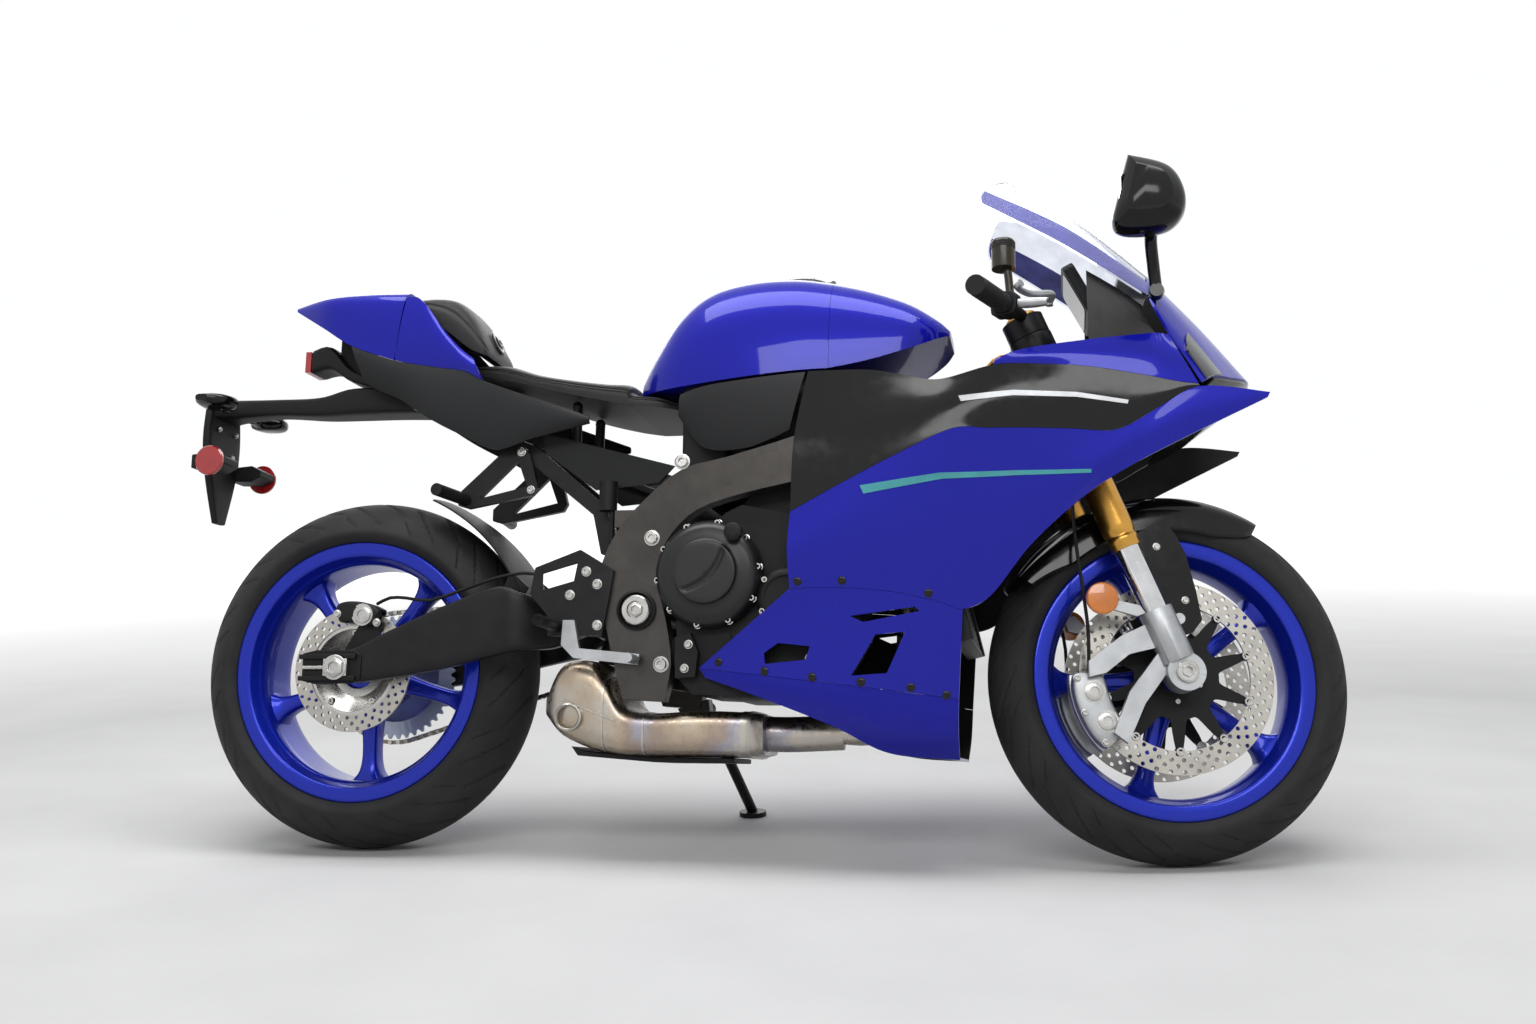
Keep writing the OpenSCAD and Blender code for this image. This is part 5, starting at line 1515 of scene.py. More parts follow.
@dataclass
class Tail:
    """Seats, tail cowl, side panels and the plate holder with its lamps.

    The seats have the columns x, half width, floor and top. The cowl's top, its blades and the flanks are ribs, and
    walls is the step from a rib's outer to its inner face.
    """

    seat: Rows = ((192, 60, 862, 882), (260, 88, 842, 876), (330, 112, 820, 852), (400, 128, 800, 837),
                  (460, 134, 786, 828), (504, 132, 778, 824), (514, 131, 777, 804), (560, 116, 774, 800),
                  (598, 90, 772, 786))
    pillion: Rows = ((64, 74, 985, 1012), (110, 79, 962, 1016), (150, 82, 936, 1008), (185, 82, 908, 976),
                     (214, 80, 894, 928), (222, 70, 892, 906))
    top: Rows = (
        ((-188, 26, 1008), (-190, 20, 1016), (-190, 0, 1018), (-190, -20, 1016), (-188, -26, 1008)),
        ((-110, 66, 960), (-110, 60, 1018), (-110, 0, 1024), (-110, -60, 1018), (-110, -66, 960)),
        ((-45, 80, 920), (-30, 72, 1016), (-30, 0, 1024), (-30, -72, 1016), (-45, -80, 920)),
        ((46, 90, 886), (60, 80, 1010), (60, 0, 1018), (60, -80, 1010), (46, -90, 886)),
    )
    walls: Rows = ((0, -4, 0), (0, -4, -4), (0, 0, -5), (0, 4, -4), (0, 4, 0))
    blade: Rows = (((-30, 72, 1016), (-45, 80, 920)), ((62, 80, 1010), (48, 90, 886)),
                   ((95, 85, 998), (130, 98, 868)), ((150, 93, 930), (190, 106, 856)),
                   ((206, 101, 880), (230, 112, 836)), ((330, 124, 800), (330, 124, 797)))
    flank: Rows = (((-110, 66, 959), (-90, 62, 930)), ((-45, 80, 919.4), (-16, 76, 850)),
                   ((47, 90, 885.4), (60, 90, 812)), ((130, 98, 867.4), (130, 106, 768)),
                   ((190, 106, 855.4), (190, 113, 737)), ((230, 112, 835.4), (262, 118, 706)),
                   ((330, 124, 797), (330, 124, 722)), ((440, 132, 757), (440, 132, 745)))
    cover: Rows = ((338, 740), (584, 674), (556, 644), (440, 634), (346, 702))

    def cushion(self, name: str, rows: Rows, roll: float, node: str) -> None:
        """Place a crowned cushion with a flat floor, pinched by a welt near its edge.

        Args:
            name: The piece's name.
            rows: Columns x, half width, floor and top.
            roll: Power of the arch; less is flatter on top.
            node: The CAD node it stands for.
        """
        form = arched(rows, 12, 60, roll, 0.035)
        place(name, form, Body.CHASSIS, Paint.HIDE, [node], crease=60)

    def piping(self, rows: Rows, lift: float) -> Surface:
        """Run a thin cord along both lower edges of a cushion.

        Args:
            rows: The cushion's table.
            lift: The cord's height as a share of the cushion's.

        Returns:
            The cords of both sides.
        """
        r = smooth(np.array(rows, float), 12)
        edge = np.stack([r[:, 0], r[:, 1] * 0.985, r[:, 2] + (r[:, 3] - r[:, 2]) * lift], -1)
        return tube(edge, 1.5, 8).pair()

    def lock(self) -> Surface:
        """Turn the seat's lock and lean it on the back of the pillion seat.

        Returns:
            The lock with its ring.
        """
        lock = joined([
            revolve(((15, 0), (15, 3), (12, 5), (6, 5), (5, 3)), (0, 0), 32, closed=False),
            revolve(((26, 0), (26, 1.5), (24, 2.5), (16, 2.5), (16, 0.5)), (0, 0), 40, closed=False)])
        cos, sin = math.cos(math.radians(66)), math.sin(math.radians(66))
        turn = np.array([[0, 1, 0], [sin, 0, cos], [-0.9 * cos, 0, 0.9 * sin]])
        return lock.moved(lambda p: p @ turn + np.array([213, 0, 936]))

    def holder(self) -> tuple[Surface, Surface]:
        """Shape the floor under the tail, the long arm and the pointed plate holder.

        Returns:
            The holder and its screws.
        """
        arm = beam(((92, 38, 812, 798), (20, 40, 846, 800), (-60, 38, 852, 800), (-130, 30, 838, 800),
                    (-220, 24, 838, 806), (-300, 30, 838, 802), (-344, 48, 836, 798)), 6,
                   ((0, 1, 3, -1), (0, 1, 3, 1), (0, 1, 2, 1), (0, 1, 2, -1)), 0.35)
        plug = beam(((24, 842, 860, 40), (-60, 862, 884, 40), (-110, 890, 934, 36), (-148, 884, 930, 32)), 4,
                    ((0, 3, 1, -1), (0, 3, 1, 1), (0, 3, 2, 1), (0, 3, 2, -1)), 0.3)
        board = beam(((840, 50, -336, -352), (760, 58, -334, -352), (690, 46, -332, -350), (600, 16, -332, -344)), 6,
                     ((2, 1, 0, -1), (2, 1, 0, 1), (3, 1, 0, 1), (3, 1, 0, -1)), 0.3)
        wing = plate(((-346, 718), (-346, 692), (-300, 690), (-280, 700), (-280, 712), (-300, 722)), 40, 96).pair()
        post = plate(((-100, 900), (-100, 1018), (-40, 1018), (-40, 860)), -12, 12)
        screws = joined([bolt((0, 0), 0, 4, 4, 1).moved(stood(AHEAD, (-331.5, y, z)))
                         for y, z in ((30, 780), (-30, 780), (22, 734), (-22, 734))])
        return joined([arm, plug, board, wing, post]), screws

    def signal(self) -> Surface:
        """Loft the slim left turn signal along its stalk, from columns y, half length and half height.

        Returns:
            The signal.
        """
        rows = smooth(np.array([[45.4, 8, 9], [70, 10, 10], [84, 34, 14], [120, 30, 12], [142, 12, 6]], float), 5)
        c, s = rounded(20, 0.7)
        x = -312 + rows[:, 1:2] * 0.4 + rows[:, 1:2] * c
        return loft(np.stack([x, np.broadcast_to(rows[:, :1], x.shape), 816 + rows[:, 2:3] * s], -1))

    def build(self) -> None:
        """Place every piece of the tail."""
        self.cushion("rider_cushion", self.seat, 0.62, "rider_seat")
        self.cushion("pillion_cushion", self.pillion, 0.66, "pillion_seat")
        place("seat_piping", self.piping(self.seat, 0.55), Body.CHASSIS, Paint.RUBBER)
        place("seat_lock", self.lock(), Body.CHASSIS, Paint.BLACK)
        top, deep = (fine_grid(rows, RIB_STEPS, 8) for rows in (self.top, np.add(self.top, self.walls)))
        blades = bowed(fine_grid(self.blade, RIB_STEPS, 8)[10:41], 6.0)
        cowl = joined([shell(top, deep), blades])
        place("tail_panels", cowl, Body.CHASSIS, Paint.BLUE, ["tail_cowl"], lining=Paint.TEXTURED)
        skirt = bowed(fine_grid(self.flank, RIB_STEPS, 8)[10:71], 5.0)
        skirt = joined([skirt, plate(self.cover, 80.3, 85).pair()])
        place("tail_skirts", skirt, Body.CHASSIS, Paint.MATTE, ["tail_sides"])
        holder, screws = self.holder()
        place("plate_holder", holder, Body.CHASSIS, Paint.TEXTURED, ["plate_arm"], bevel=2)
        place("plate_screws", screws, Body.CHASSIS, Paint.STEEL)
        place("turn_signals", self.signal().pair(), Body.CHASSIS, Paint.BLACK)
        dome = revolve(((28, 96.4), (28, 101), (26, 103.5), (4, 104.5)), (-307, 705), 48, closed=False).pair()
        brake = plate(((-162, 886), (-162, 926), (-151, 926), (-151, 886)), -30, 30)
        place("red_lenses", joined([dome, brake]), Body.CHASSIS, Paint.RED, ["rear_lamps"])
        lamp = plate(((-350, 742), (-358, 744), (-358, 756), (-350, 760)), -34, 34)
        place("plate_lamp", lamp, Body.CHASSIS, Paint.BLACK, bevel=2)


@dataclass
class Chassis:
    """Main frame, subframe, swingarm and stands.

    The spar has the columns upper x and z, lower x and z, inner and outer y. The arm has x, top, underside, inner and
    outer y. Frame bolts have x, z and y.
    """

    spar: Rows = (
        (1178, 815, 1216, 708, 8, 33), (1125, 806, 1160, 700, 42, 76), (1085, 792, 1108, 690, 88, 124),
        (960, 756, 985, 668, 128, 168), (830, 706, 842, 630, 138, 178), (700, 670, 725, 606, 134, 172),
        (620, 652, 648, 582, 130, 166), (555, 605, 602, 545, 122, 158), (500, 545, 577, 500, 116, 152),
        (472, 470, 574, 460, 114, 150), (488, 380, 592, 390, 114, 150), (505, 310, 602, 320, 114, 150),
        (520, 262, 590, 258, 114, 150),
    )
    arm: Rows = (
        (-58, 336, 294, 118, 148), (20, 348, 290, 118, 150), (80, 376, 296, 118, 150), (180, 420, 312, 118, 150),
        (280, 456, 336, 118, 148), (326, 446, 346, 117, 148), (376, 434, 352, 80, 112), (430, 436, 376, 58, 90),
        (500, 436, 388, 56, 88), (540, 434, 390, 56, 88),
    )
    pivot: tuple = (540, 412)
    bolts: Rows = ((565, 535, 154), (585, 320, 150.6), (618, 664, 166))

    def arms(self) -> Surface:
        """Loft both swingarm legs as rounded oblongs, with the cross tube and brace between them.

        Returns:
            The swingarm.
        """
        leg = beam(self.arm, 8, ((0, 3, 1, 1), (0, 4, 1, 1), (0, 4, 2, 1), (0, 3, 2, 1)), 0.32)
        cross = revolve(((26, -110), (26, 110), (15.3, 110), (15.3, -110)), self.pivot, 48)
        brace = plate(((396, 384), (396, 428), (422, 428), (422, 384)), -80, 80)
        return joined([leg.pair(), cross, brace])

    def blocks(self) -> tuple[Surface, Surface]:
        """Shape the axle adjusters: a dark fork of plates and a bright block round the axle.

        Returns:
            The dark plates and the bright blocks.
        """
        dark = plate(((-66, 292), (-66, 340), (-40, 346), (30, 346), (44, 338), (44, 296), (30, 288), (-40, 286)),
                     148.6, 153)
        wall = joined([dark, plate(((-70, 330), (-70, 338), (36, 338), (36, 330)), 152, 160),
                       plate(((-70, 292), (-70, 300), (36, 300), (36, 292)), 152, 160)])
        block = plate(((-22, 300), (-22, 330), (22, 330), (22, 300)), 152.6, 163)
        nut = revolve(((19, 163), (19, 169), (13, 171), (9.6, 171), (9, 166)), REAR_HUB, 6, closed=False)
        washer = revolve(((22, 163), (22, 164.6), (19, 165), (10, 165)), REAR_HUB, 40, closed=False)
        screw = tube(np.linspace([-64, 156, 315], [-24, 156, 315], 3), 4, 12)
        return wall.pair(), joined([block, nut, washer, screw]).pair()

    def build(self) -> None:
        """Place the frame, swingarm and their fittings."""
        spar = beam(self.spar, 8, ((0, 4, 1, 1), (0, 5, 1, 1), (2, 5, 3, 1), (2, 4, 3, 1)), 0.3)
        place("frame_spars", spar.pair(), Body.CHASSIS, Paint.FRAME)
        dress("frame", Paint.FRAME)
        place("swingarm_legs", self.arms(), Body.CHASSIS, Paint.ARM, ["swingarm"])
        wall, block = self.blocks()
        place("axle_adjusters", wall, Body.CHASSIS, Paint.TEXTURED, bevel=1)
        place("axle_blocks", block, Body.CHASSIS, Paint.STEEL, bevel=0.8)
        seat = revolve(((34, 150.2), (34, 156), (30, 158), (27, 153)), self.pivot, 64).pair()
        place("pivot_recess", seat, Body.CHASSIS, Paint.TEXTURED)
        cap, nut = (revolve(profile, self.pivot, n, closed=False) for profile, n in (
            (((25, 151), (25, 159), (23, 161), (15, 161), (14, 156), (13.4, 156)), 64),
            (((12.6, 156.5), (12.6, 162), (11, 163), (7.6, 163), (7.2, 158)), 6)))
        place("pivot_nuts", joined([cap, nut]).pair(), Body.CHASSIS, Paint.STEEL, ["pivot_shaft"])
        heads = joined([bolt((x, z), side * y, 8, 11, side) for side in (-1, 1) for x, z, y in self.bolts])
        place("frame_bolts", heads, Body.CHASSIS, Paint.STEEL)
        for node, paint in (("subframe", Paint.ARM), ("rear_axle", Paint.STEEL), ("side_stand", Paint.ARM),
                            ("rear_shock", Paint.ARM), ("fairing_stay", Paint.TEXTURED)):
            dress(node, paint)


@dataclass
class Engine:
    """Engine cases with their covers and bolts, exhaust and radiator.

    The silencer has the columns x, half width, underside and top.
    """

    clutch: tuple = (668, 470)
    pickup: tuple = (800, 430)
    starter: tuple = (772, 440)
    silencer: Rows = ((368, 80, 232, 272), (398, 102, 200, 326), (450, 108, 178, 330), (482, 108, 172, 298),
                      (510, 108, 169, 252), (560, 108, 168, 242), (640, 106, 168, 246), (720, 98, 168, 244),
                      (750, 76, 172, 240))

    def dome(self) -> Surface:
        """Turn the clutch cover and sink a curved slash into its face.

        With u along the slash and v across it, the face drops by 4 mm, with a soft edge, where
        |v - 10 + 0.006 u^2| is under about 4 mm and |u| is under about 46 mm.

        Returns:
            The closed cover.
        """
        prof = smooth(np.array([[92, -150.3], [92, -164], [87, -179], [76, -189], [56, -194], [53, -201],
                                [50, -203.6], [30, -204], [4, -204]], float), 8)
        cover = revolve(prof, self.clutch, 128, closed=False)
        at = np.array([self.clutch[0], 0, self.clutch[1]])

        def slash(p: Array) -> Array:
            """Sink the slash into the face.

            Args:
                p: The cover's points.

            Returns:
                The points with the slash.
            """
            q = p - at
            u, v = (q[:, 0] + q[:, 2]) * 0.7071, (q[:, 0] - q[:, 2]) * 0.7071
            band = np.clip(1.6 - np.abs(v - 10 + u**2 * 0.006) / 4, 0, 1) * np.clip((50 - np.abs(u)) / 6, 0, 1)
            drop = 4 * band * (p[:, 1] < -198)
            return p + np.stack([0 * drop, drop, 0 * drop], -1)

        return cover.moved(slash)

    def covers(self) -> Surface:
        """Shape the other covers: pickup, starter and side covers, and the filler stub.

        Returns:
            The covers and the ribs on the case.
        """
        dish = smooth(np.array([[52, -150.3], [51, -164], [44, -173], [36, -175.6], [33, -173], [4, -173]]), 5)
        pick = revolve(dish, self.pickup, 72, closed=False)
        dish = smooth(np.array([[76, 150.3], [76, 163], [69, 173], [55, 180], [40, 181.6], [36, 179], [4, 179]]), 5)
        left = revolve(dish, self.starter, 96, closed=False)
        stub = revolve(((15, -190), (15, -206), (12, -208), (5, -208)), (716, 536), 32, closed=False)
        side = plate(((614, 296), (612, 364), (638, 372), (652, 340), (648, 298)), -168, -150.3)
        ribs = [plate(((x, 280), (x + 5, 280), (x + 5, 372), (x, 372)), -153.4, -149) for x in range(700, 790, 18)]
        return joined([pick, left, stub, side] + ribs)

    def ring_bolts(self) -> Surface:
        """Set socket bolts round the covers.

        Returns:
            All bolts.
        """
        parts = []
        for (x, z), radius, count, y, side in ((self.clutch, 87, 10, -166, -1), (self.pickup, 45, 5, -164, -1),
                                               (self.starter, 70, 8, 164, 1)):
            for k in range(count):
                a = 2 * math.pi * (k + 0.3) / count
                parts.append(bolt((x + radius * math.sin(a), z + radius * math.cos(a)), y, 14, 5.5, side))
        for x, z in ((630, 312), (636, 352), (712, 292), (764, 290), (838, 330), (886, 402), (880, 500)):
            parts.append(bolt((x, z), -150.2 if x > 660 else -168, 7, 6))
        return joined(parts)

    def box(self) -> tuple[Surface, Surface, Surface]:
        """Loft the silencer, its welded seams and clamp bands, and the guard beneath it.

        Returns:
            The box, the seams and bands, and the guard.
        """
        r = smooth(np.array(self.silencer, float), 8)
        c, s = rounded(64, 0.4)

        def ring(x: Array, grow: float) -> Array:
            """Shape rounded oblong sections of the box.

            Args:
                x: Places along the box.
                grow: How far the sections stand out from it.

            Returns:
                A ring of points at each place.
            """
            half, low, top = (np.interp(x, r[:, 0], r[:, k])[:, None] for k in (1, 2, 3))
            y, z = -20 + (half + grow) * c, (low + top) / 2 + ((top - low) / 2 + grow) * s
            return np.stack([np.broadcast_to(x[:, None], y.shape), y, z], -1)

        bands = [loft(ring(np.linspace(x, x + wide, 3), grow))
                 for x, wide, grow in ((476, 3, 1.2), (548, 3, 1.2), (716, 16, 1.6), (728, 3, 3))]
        lip = tube(np.stack([np.linspace(404, 500, 9), np.full(9, -128.4), np.linspace(262, 226, 9)], -1), 1.4, 8)
        tail = revolve(((24, -96), (24, -134), (21, -136), (19, -134), (18, -110)), (418, 232), 40, closed=False)
        guard = plate(((412, 184), (424, 168), (560, 158), (700, 158), (700, 166.5), (560, 166.6), (440, 176)), -90, 60)
        return loft(ring(r[:, 0], 0)), joined(bands + [lip, tail]), guard

    def pipes(self) -> Surface:
        """Sweep the collector and three header pipes, with a flange plate at the ports.

        Returns:
            The pipes and the plate.
        """
        parts = [tube(smooth(np.array([[750.5, -40, 208], [800, -40, 208], [880, -36, 212]], float), 6), 30, 32)]
        for lane in (-1, 0, 1):
            port = lane * 84
            way = np.array([[866, -36 + lane * 8, 212], [930, -10 + lane * 50, 216], [984, lane * 80, 280],
                            [996, port, 420], [992, port, 520], [974, port, 564], [942.4, port, 578.4]])
            parts.append(tube(smooth(way, 8), 19, 24))
        parts.append(plate(((925.4, 548.8), (951.1, 611.8), (958.9, 608.6), (933.3, 545.6)), -112, 112))
        return joined(parts)

    def core(self) -> tuple[Surface, Surface]:
        """Stack the radiator's fins between its tanks, tilted by fourteen degrees.

        Returns:
            The fins, and the tanks with their stays.
        """
        lean = tipped(1056, 500, 14)
        bars = [plate(((-13, z), (13, z), (13, z + 4), (-13, z + 4)), -156, 156) for z in range(-146, 144, 9)]
        posts = [plate(((-11, -148), (11, -148), (11, 148), (-11, 148)), y, y + 2.4) for y in range(-150, 150, 13)]
        corners = np.array([[[x, y, z] for x, y in ((-18, 156), (-18, 184), (18, 184), (18, 156))]
                            for z in (-150, 150)], float)
        tank = bar_loft(corners, 0.3).pair()
        rails = [plate(((-14, z), (14, z), (14, z + 6), (-14, z + 6)), -160, 160) for z in (-150, 144)]
        stays = tube(np.linspace([1030, 165, 606], [986.9, 148, 659.4], 4), 8, 20).pair()
        return joined(bars + posts).moved(lean), joined([joined([tank] + rails).moved(lean), stays])

    def build(self) -> None:
        """Place the engine, exhaust and radiator."""
        dress("engine", Paint.CASE, 4)
        place("clutch_cover", self.dome(), Body.CHASSIS, Paint.COVER, ["engine_covers"], crease=50)
        place("small_covers", self.covers(), Body.CHASSIS, Paint.CASE)
        place("cover_bolts", self.ring_bolts(), Body.CHASSIS, Paint.STEEL)
        box, bands, guard = self.box()
        place("silencer_box", box, Body.CHASSIS, Paint.HEAT, ["silencer"])
        place("silencer_seams", bands, Body.CHASSIS, Paint.DISC)
        place("silencer_guard", guard, Body.CHASSIS, Paint.TEXTURED, bevel=2)
        place("header_pipes", self.pipes(), Body.CHASSIS, Paint.HEAT, ["headers"])
        fins, tanks = self.core()
        place("radiator_fins", fins, Body.CHASSIS, Paint.CASE, ["radiator"])
        place("radiator_tanks", tanks, Body.CHASSIS, Paint.TEXTURED)


@dataclass
class FrontEnd:
    """Fork, calipers, bars and controls, drawn straight ahead and turned with the steering."""

    half: float = 105.0
    bar_in: tuple = (1170, 126, 898)
    bar_out: tuple = (1056, 330, 868)

    def leg(self, points: Array) -> Array:
        """Take points from the fork's frame, z along the legs from the axle, to the upright frame.

        Args:
            points: Places in the fork's frame.

        Returns:
            The places in the upright frame.
        """
        x, y, z = np.moveaxis(points, -1, 0)
        cos, sin = math.cos(STANCE.rake), math.sin(STANCE.rake)
        return np.stack([STANCE.wheelbase + x * cos - z * sin, y, STANCE.front_r + x * sin + z * cos], -1)

    def turned(self, profile: Rows, at: tuple, n: int = 64, closed: bool = False) -> Surface:
        """Turn a profile of radius and height about a line along the fork's leg.

        Args:
            profile: Pairs of radius and height along the leg.
            at: x and y of the line in the fork's frame.
            n: Steps round.
            closed: Whether the profile is a closed outline.

        Returns:
            The turned piece in the upright frame.
        """
        return revolve(profile, (0, 0), n, closed).moved(stood(UPRIGHT, (*at, 0))).moved(self.leg)

    def bar(self, t: float) -> Array:
        """Return a point of the left bar, 0 at its inner end and 1 at its tip."""
        a, b = np.array(self.bar_in, float), np.array(self.bar_out, float)
        return a + (b - a) * t

    def caliper(self) -> tuple[Surface, Surface]:
        """Shape the left caliper: a ring sector with eased corners, its two piston caps and bridge bolts.

        Returns:
            The body's two halves and bridge, then the bolts and caps.
        """
        halves = [sector((158, 202, 23), 0.22, box, 32)
                  for box in ((32, 57, 126, 178), (67, 98, 124, 180), (52, 72, 166, 181))]
        caps = []
        for deg, radius, size, y, out in ((170, 148, 15, 97.6, 4), (190, 148, 15, 97.6, 4), (161, 172, 5, 97, 5),
                                          (180, 174, 5, 97, 5), (199, 172, 5, 97, 5)):
            at = (radius * math.cos(math.radians(deg)), radius * math.sin(math.radians(deg)))
            caps.append(bolt(at, y, out, size, 1))
        return joined(halves).moved(self.leg).pair(), joined(caps).moved(self.leg).pair()

    def grip(self) -> Surface:
        """Turn the left grip with fine rings, a flange inboard and a bar end, then mirror it.

        Returns:
            Both grips.
        """
        t = np.linspace(0.466, 0.995, 150)
        wave = 16.1 + 0.9 * np.sign(np.sin(t * 190)) * (t > 0.5) * (t < 0.93)
        wave = np.where(t < 0.485, 17.0, wave)
        wave = np.where(t > 0.94, 16.6, wave)
        path = self.bar(0)[None] + (self.bar(1) - self.bar(0))[None] * t[:, None]
        return tube(path, wave, 32).pair()

    def controls(self) -> tuple[Surface, Surface, Surface]:
        """Shape levers, switch blocks and the red switch.

        Returns:
            The bright levers and cylinders, the black blocks, and the switch.
        """
        base, out = self.bar(0.38), self.bar(0.92)
        blade = np.array([base + [66, 28, -2], base + [62, 60, -3], self.bar(0.7) + [58, 24, -6], out + [56, 22, -7],
                          out + [60, 34, -5]])
        thick = np.interp(np.linspace(0, 1, 41), [0, 0.2, 0.9, 1], [6.5, 6, 5, 6.5])
        lever = tube(smooth(blade, 10), thick, 16)
        pump = tube(np.linspace(base + [18.7, 9.9, 0], base + [70, 30, -2], 5), np.array([8, 9, 9, 8, 6.0]), 24)
        knob = revolve(((6, -8), (6, 8), (4, 10), (2, 10)), (0, 0), 16, closed=False)
        knob = knob.moved(stood(UPRIGHT, base + [66, 28, -2]))
        way = self.bar(1) - self.bar(0)
        way = way / np.linalg.norm(way)
        up = np.array([0.0, 0.0, 1.0])
        fore = np.cross(way, up)
        corners = np.array([[self.bar(t) + fore * f + up * u for f, u in ((-21, -20), (21, -20), (21, 20), (-21, 20))]
                            for t in (0.31, 0.34, 0.44, 0.455)])
        block = bar_loft(corners, 0.35)
        red = revolve(((7, 0), (7, 7), (5, 9), (2, 9)), (0, 0), 16, closed=False)
        red = red.moved(stood(UPRIGHT, (self.bar(0.40) - fore * 16) * MIRROR + up * 15))
        return joined([lever, pump, knob]).pair(), block.pair(), red

    def fender(self) -> tuple[Surface, Surface]:
        """Sweep the fender's section round the wheel, pointed ahead, with a shield beside each leg.

        Returns:
            The fender and its bolts.
        """
        a = np.radians(np.linspace(60, 148, 60))
        arch = smooth(np.array([[250, -74.8], [272, -73.4], [292, -69], [306, -52], [313, -26], [316, 0], [313, 26],
                                [306, 52], [292, 69], [272, 73.4], [250, 74.8]], float), 5)
        t = np.linspace(0, 1, 60)[:, None]
        tip = np.clip(t / 0.16, 0, 1) ** 0.6
        low = np.clip((t - 0.82) / 0.18, 0, 1)
        r = 316 - (316 - arch[None, :, 0]) * (0.45 + 0.55 * tip) * (1 - 0.45 * low)
        y = arch[None, :, 1] * (0.62 + 0.38 * tip)
        hub_x, hub_z = FRONT_HUB
        outer, inner = (
            np.stack([hub_x + (r - deep) * np.cos(a)[:, None], y * wide, hub_z + (r - deep) * np.sin(a)[:, None]], -1)
            for deep, wide in ((0, 1), (3.6, 0.955)))
        shield = plate(((20, 240), (60, 247), (90, 250), (97, 215), (98, 180), (88, 120), (76, 70), (52, 56), (20, 60)),
                       71, 74.8)
        bolts = joined([bolt((x, z), 74.8, 4, 5, 1) for x, z in ((58, 210), (64, 110))])
        return joined([shell(outer, inner), shield.moved(self.leg).pair()]), bolts.moved(self.leg).pair()

    def legs(self) -> None:
        """Place the fork's legs: gold tubes over chrome ones, with their caps."""
        at = (0.0, self.half)
        outer = self.turned(((21.8, 221), (24.2, 221), (25, 223), (25, 232), (26, 234), (26, 240), (24.6, 242),
                             (24.6, 246), (26.6, 249), (26.8, 262), (26.6, 380), (27, 384), (27, 654), (25.5, 656),
                             (21.8, 656)), at, closed=True)
        inner = self.turned(((21.5, 27), (21.5, 244)), at)
        cap = self.turned(((20, 656), (20, 659), (17, 661), (9, 661), (8.5, 658.4)), at, 6)
        place("fork_outer_tubes", outer.pair(), Body.STEERING, Paint.GOLD, ["fork_tubes"])
        place("fork_inner_tubes", inner.pair(), Body.STEERING, Paint.CHROME, ["fork_sliders"])
        place("fork_caps", cap.pair(), Body.STEERING, Paint.GOLD)

    def reservoir(self) -> None:
        """Place the front brake's fluid cup on its stay, with its ribbed cap."""
        rise = stood(UPRIGHT, (1123.7, -203.5, -5.4))
        cup = revolve(((19.6, 956), (19.8, 988), (20, 990), (20, 1003), (18, 1006), (4, 1006)), (0, 0), 48,
                      closed=False)
        way = np.array([[1133.7, -203.5, 908.2], [1131.7, -203.5, 934.6], [1128.7, -203.5, 960.6]])
        cup = joined([cup.moved(rise), tube(smooth(way, 4), 7, 16)])
        ribs = [revolve(((20.4, z), (20.4, z + 2.2), (19.5, z + 2.6), (19.5, z - 0.4)), (0, 0), 48).moved(rise)
                for z in range(991, 1003, 4)]
        place("fluid_cup", cup, Body.STEERING, Paint.SMOKE, ["brake_reservoir"])
        place("fluid_cap", joined(ribs), Body.STEERING, Paint.TEXTURED)

    def reflectors(self) -> None:
        """Place the round amber reflectors on their arms."""
        lens = revolve(((26, 121), (26, 128), (24, 130.4), (20, 131), (4, 131.4)), (-78, 158), 48, closed=False)
        arm = plate(((-20.5, 110.3), (-36, 110.3), (-88, 150), (-86, 172), (-66, 172), (-56, 148), (-24, 126)),
                    115, 120.6)
        place("round_reflectors", lens.moved(self.leg).pair(), Body.STEERING, Paint.AMBER, ["fork_reflectors"])
        place("reflector_arms", arm.moved(self.leg).pair(), Body.STEERING, Paint.CAST, bevel=1)

    def build(self) -> None:
        """Place everything that turns with the bars."""
        self.legs()
        dress("fork_feet", Paint.CAST, 2)
        dress("triple_clamps", Paint.ARM, 1.5)
        dress("handlebars", Paint.ARM)
        dress("brake_hoses", Paint.RUBBER)
        body, caps = self.caliper()
        place("caliper_bodies", body, Body.STEERING, Paint.CAST, ["front_calipers"])
        place("caliper_caps", caps, Body.STEERING, Paint.STEEL)
        collar = revolve(((18, 125.6), (18, 130), (16, 132), (11.6, 132), (11, 126)), FRONT_HUB, 48, closed=False)
        nut = revolve(((10.6, 126), (10.6, 133.4), (9.8, 134), (7.4, 134), (7, 128)), FRONT_HUB, 6, closed=False)
        place("axle_ends", joined([collar, nut]).pair(), Body.STEERING, Paint.STEEL)
        dress("front_axle", Paint.STEEL)
        place("grip_rubbers", self.grip(), Body.STEERING, Paint.RUBBER, ["grips"])
        bright, blocks, red = self.controls()
        place("levers", bright, Body.STEERING, Paint.CAST, ["bar_controls"])
        place("switch_blocks", blocks, Body.STEERING, Paint.TEXTURED, bevel=1.5)
        place("kill_switch", red, Body.STEERING, Paint.RED)
        fender, bolts = self.fender()
        place("fender_skin", fender, Body.STEERING, Paint.BLACK, ["front_fender"], lining=Paint.TEXTURED)
        place("fender_bolts", bolts, Body.STEERING, Paint.STEEL)
        self.reservoir()
        self.reflectors()


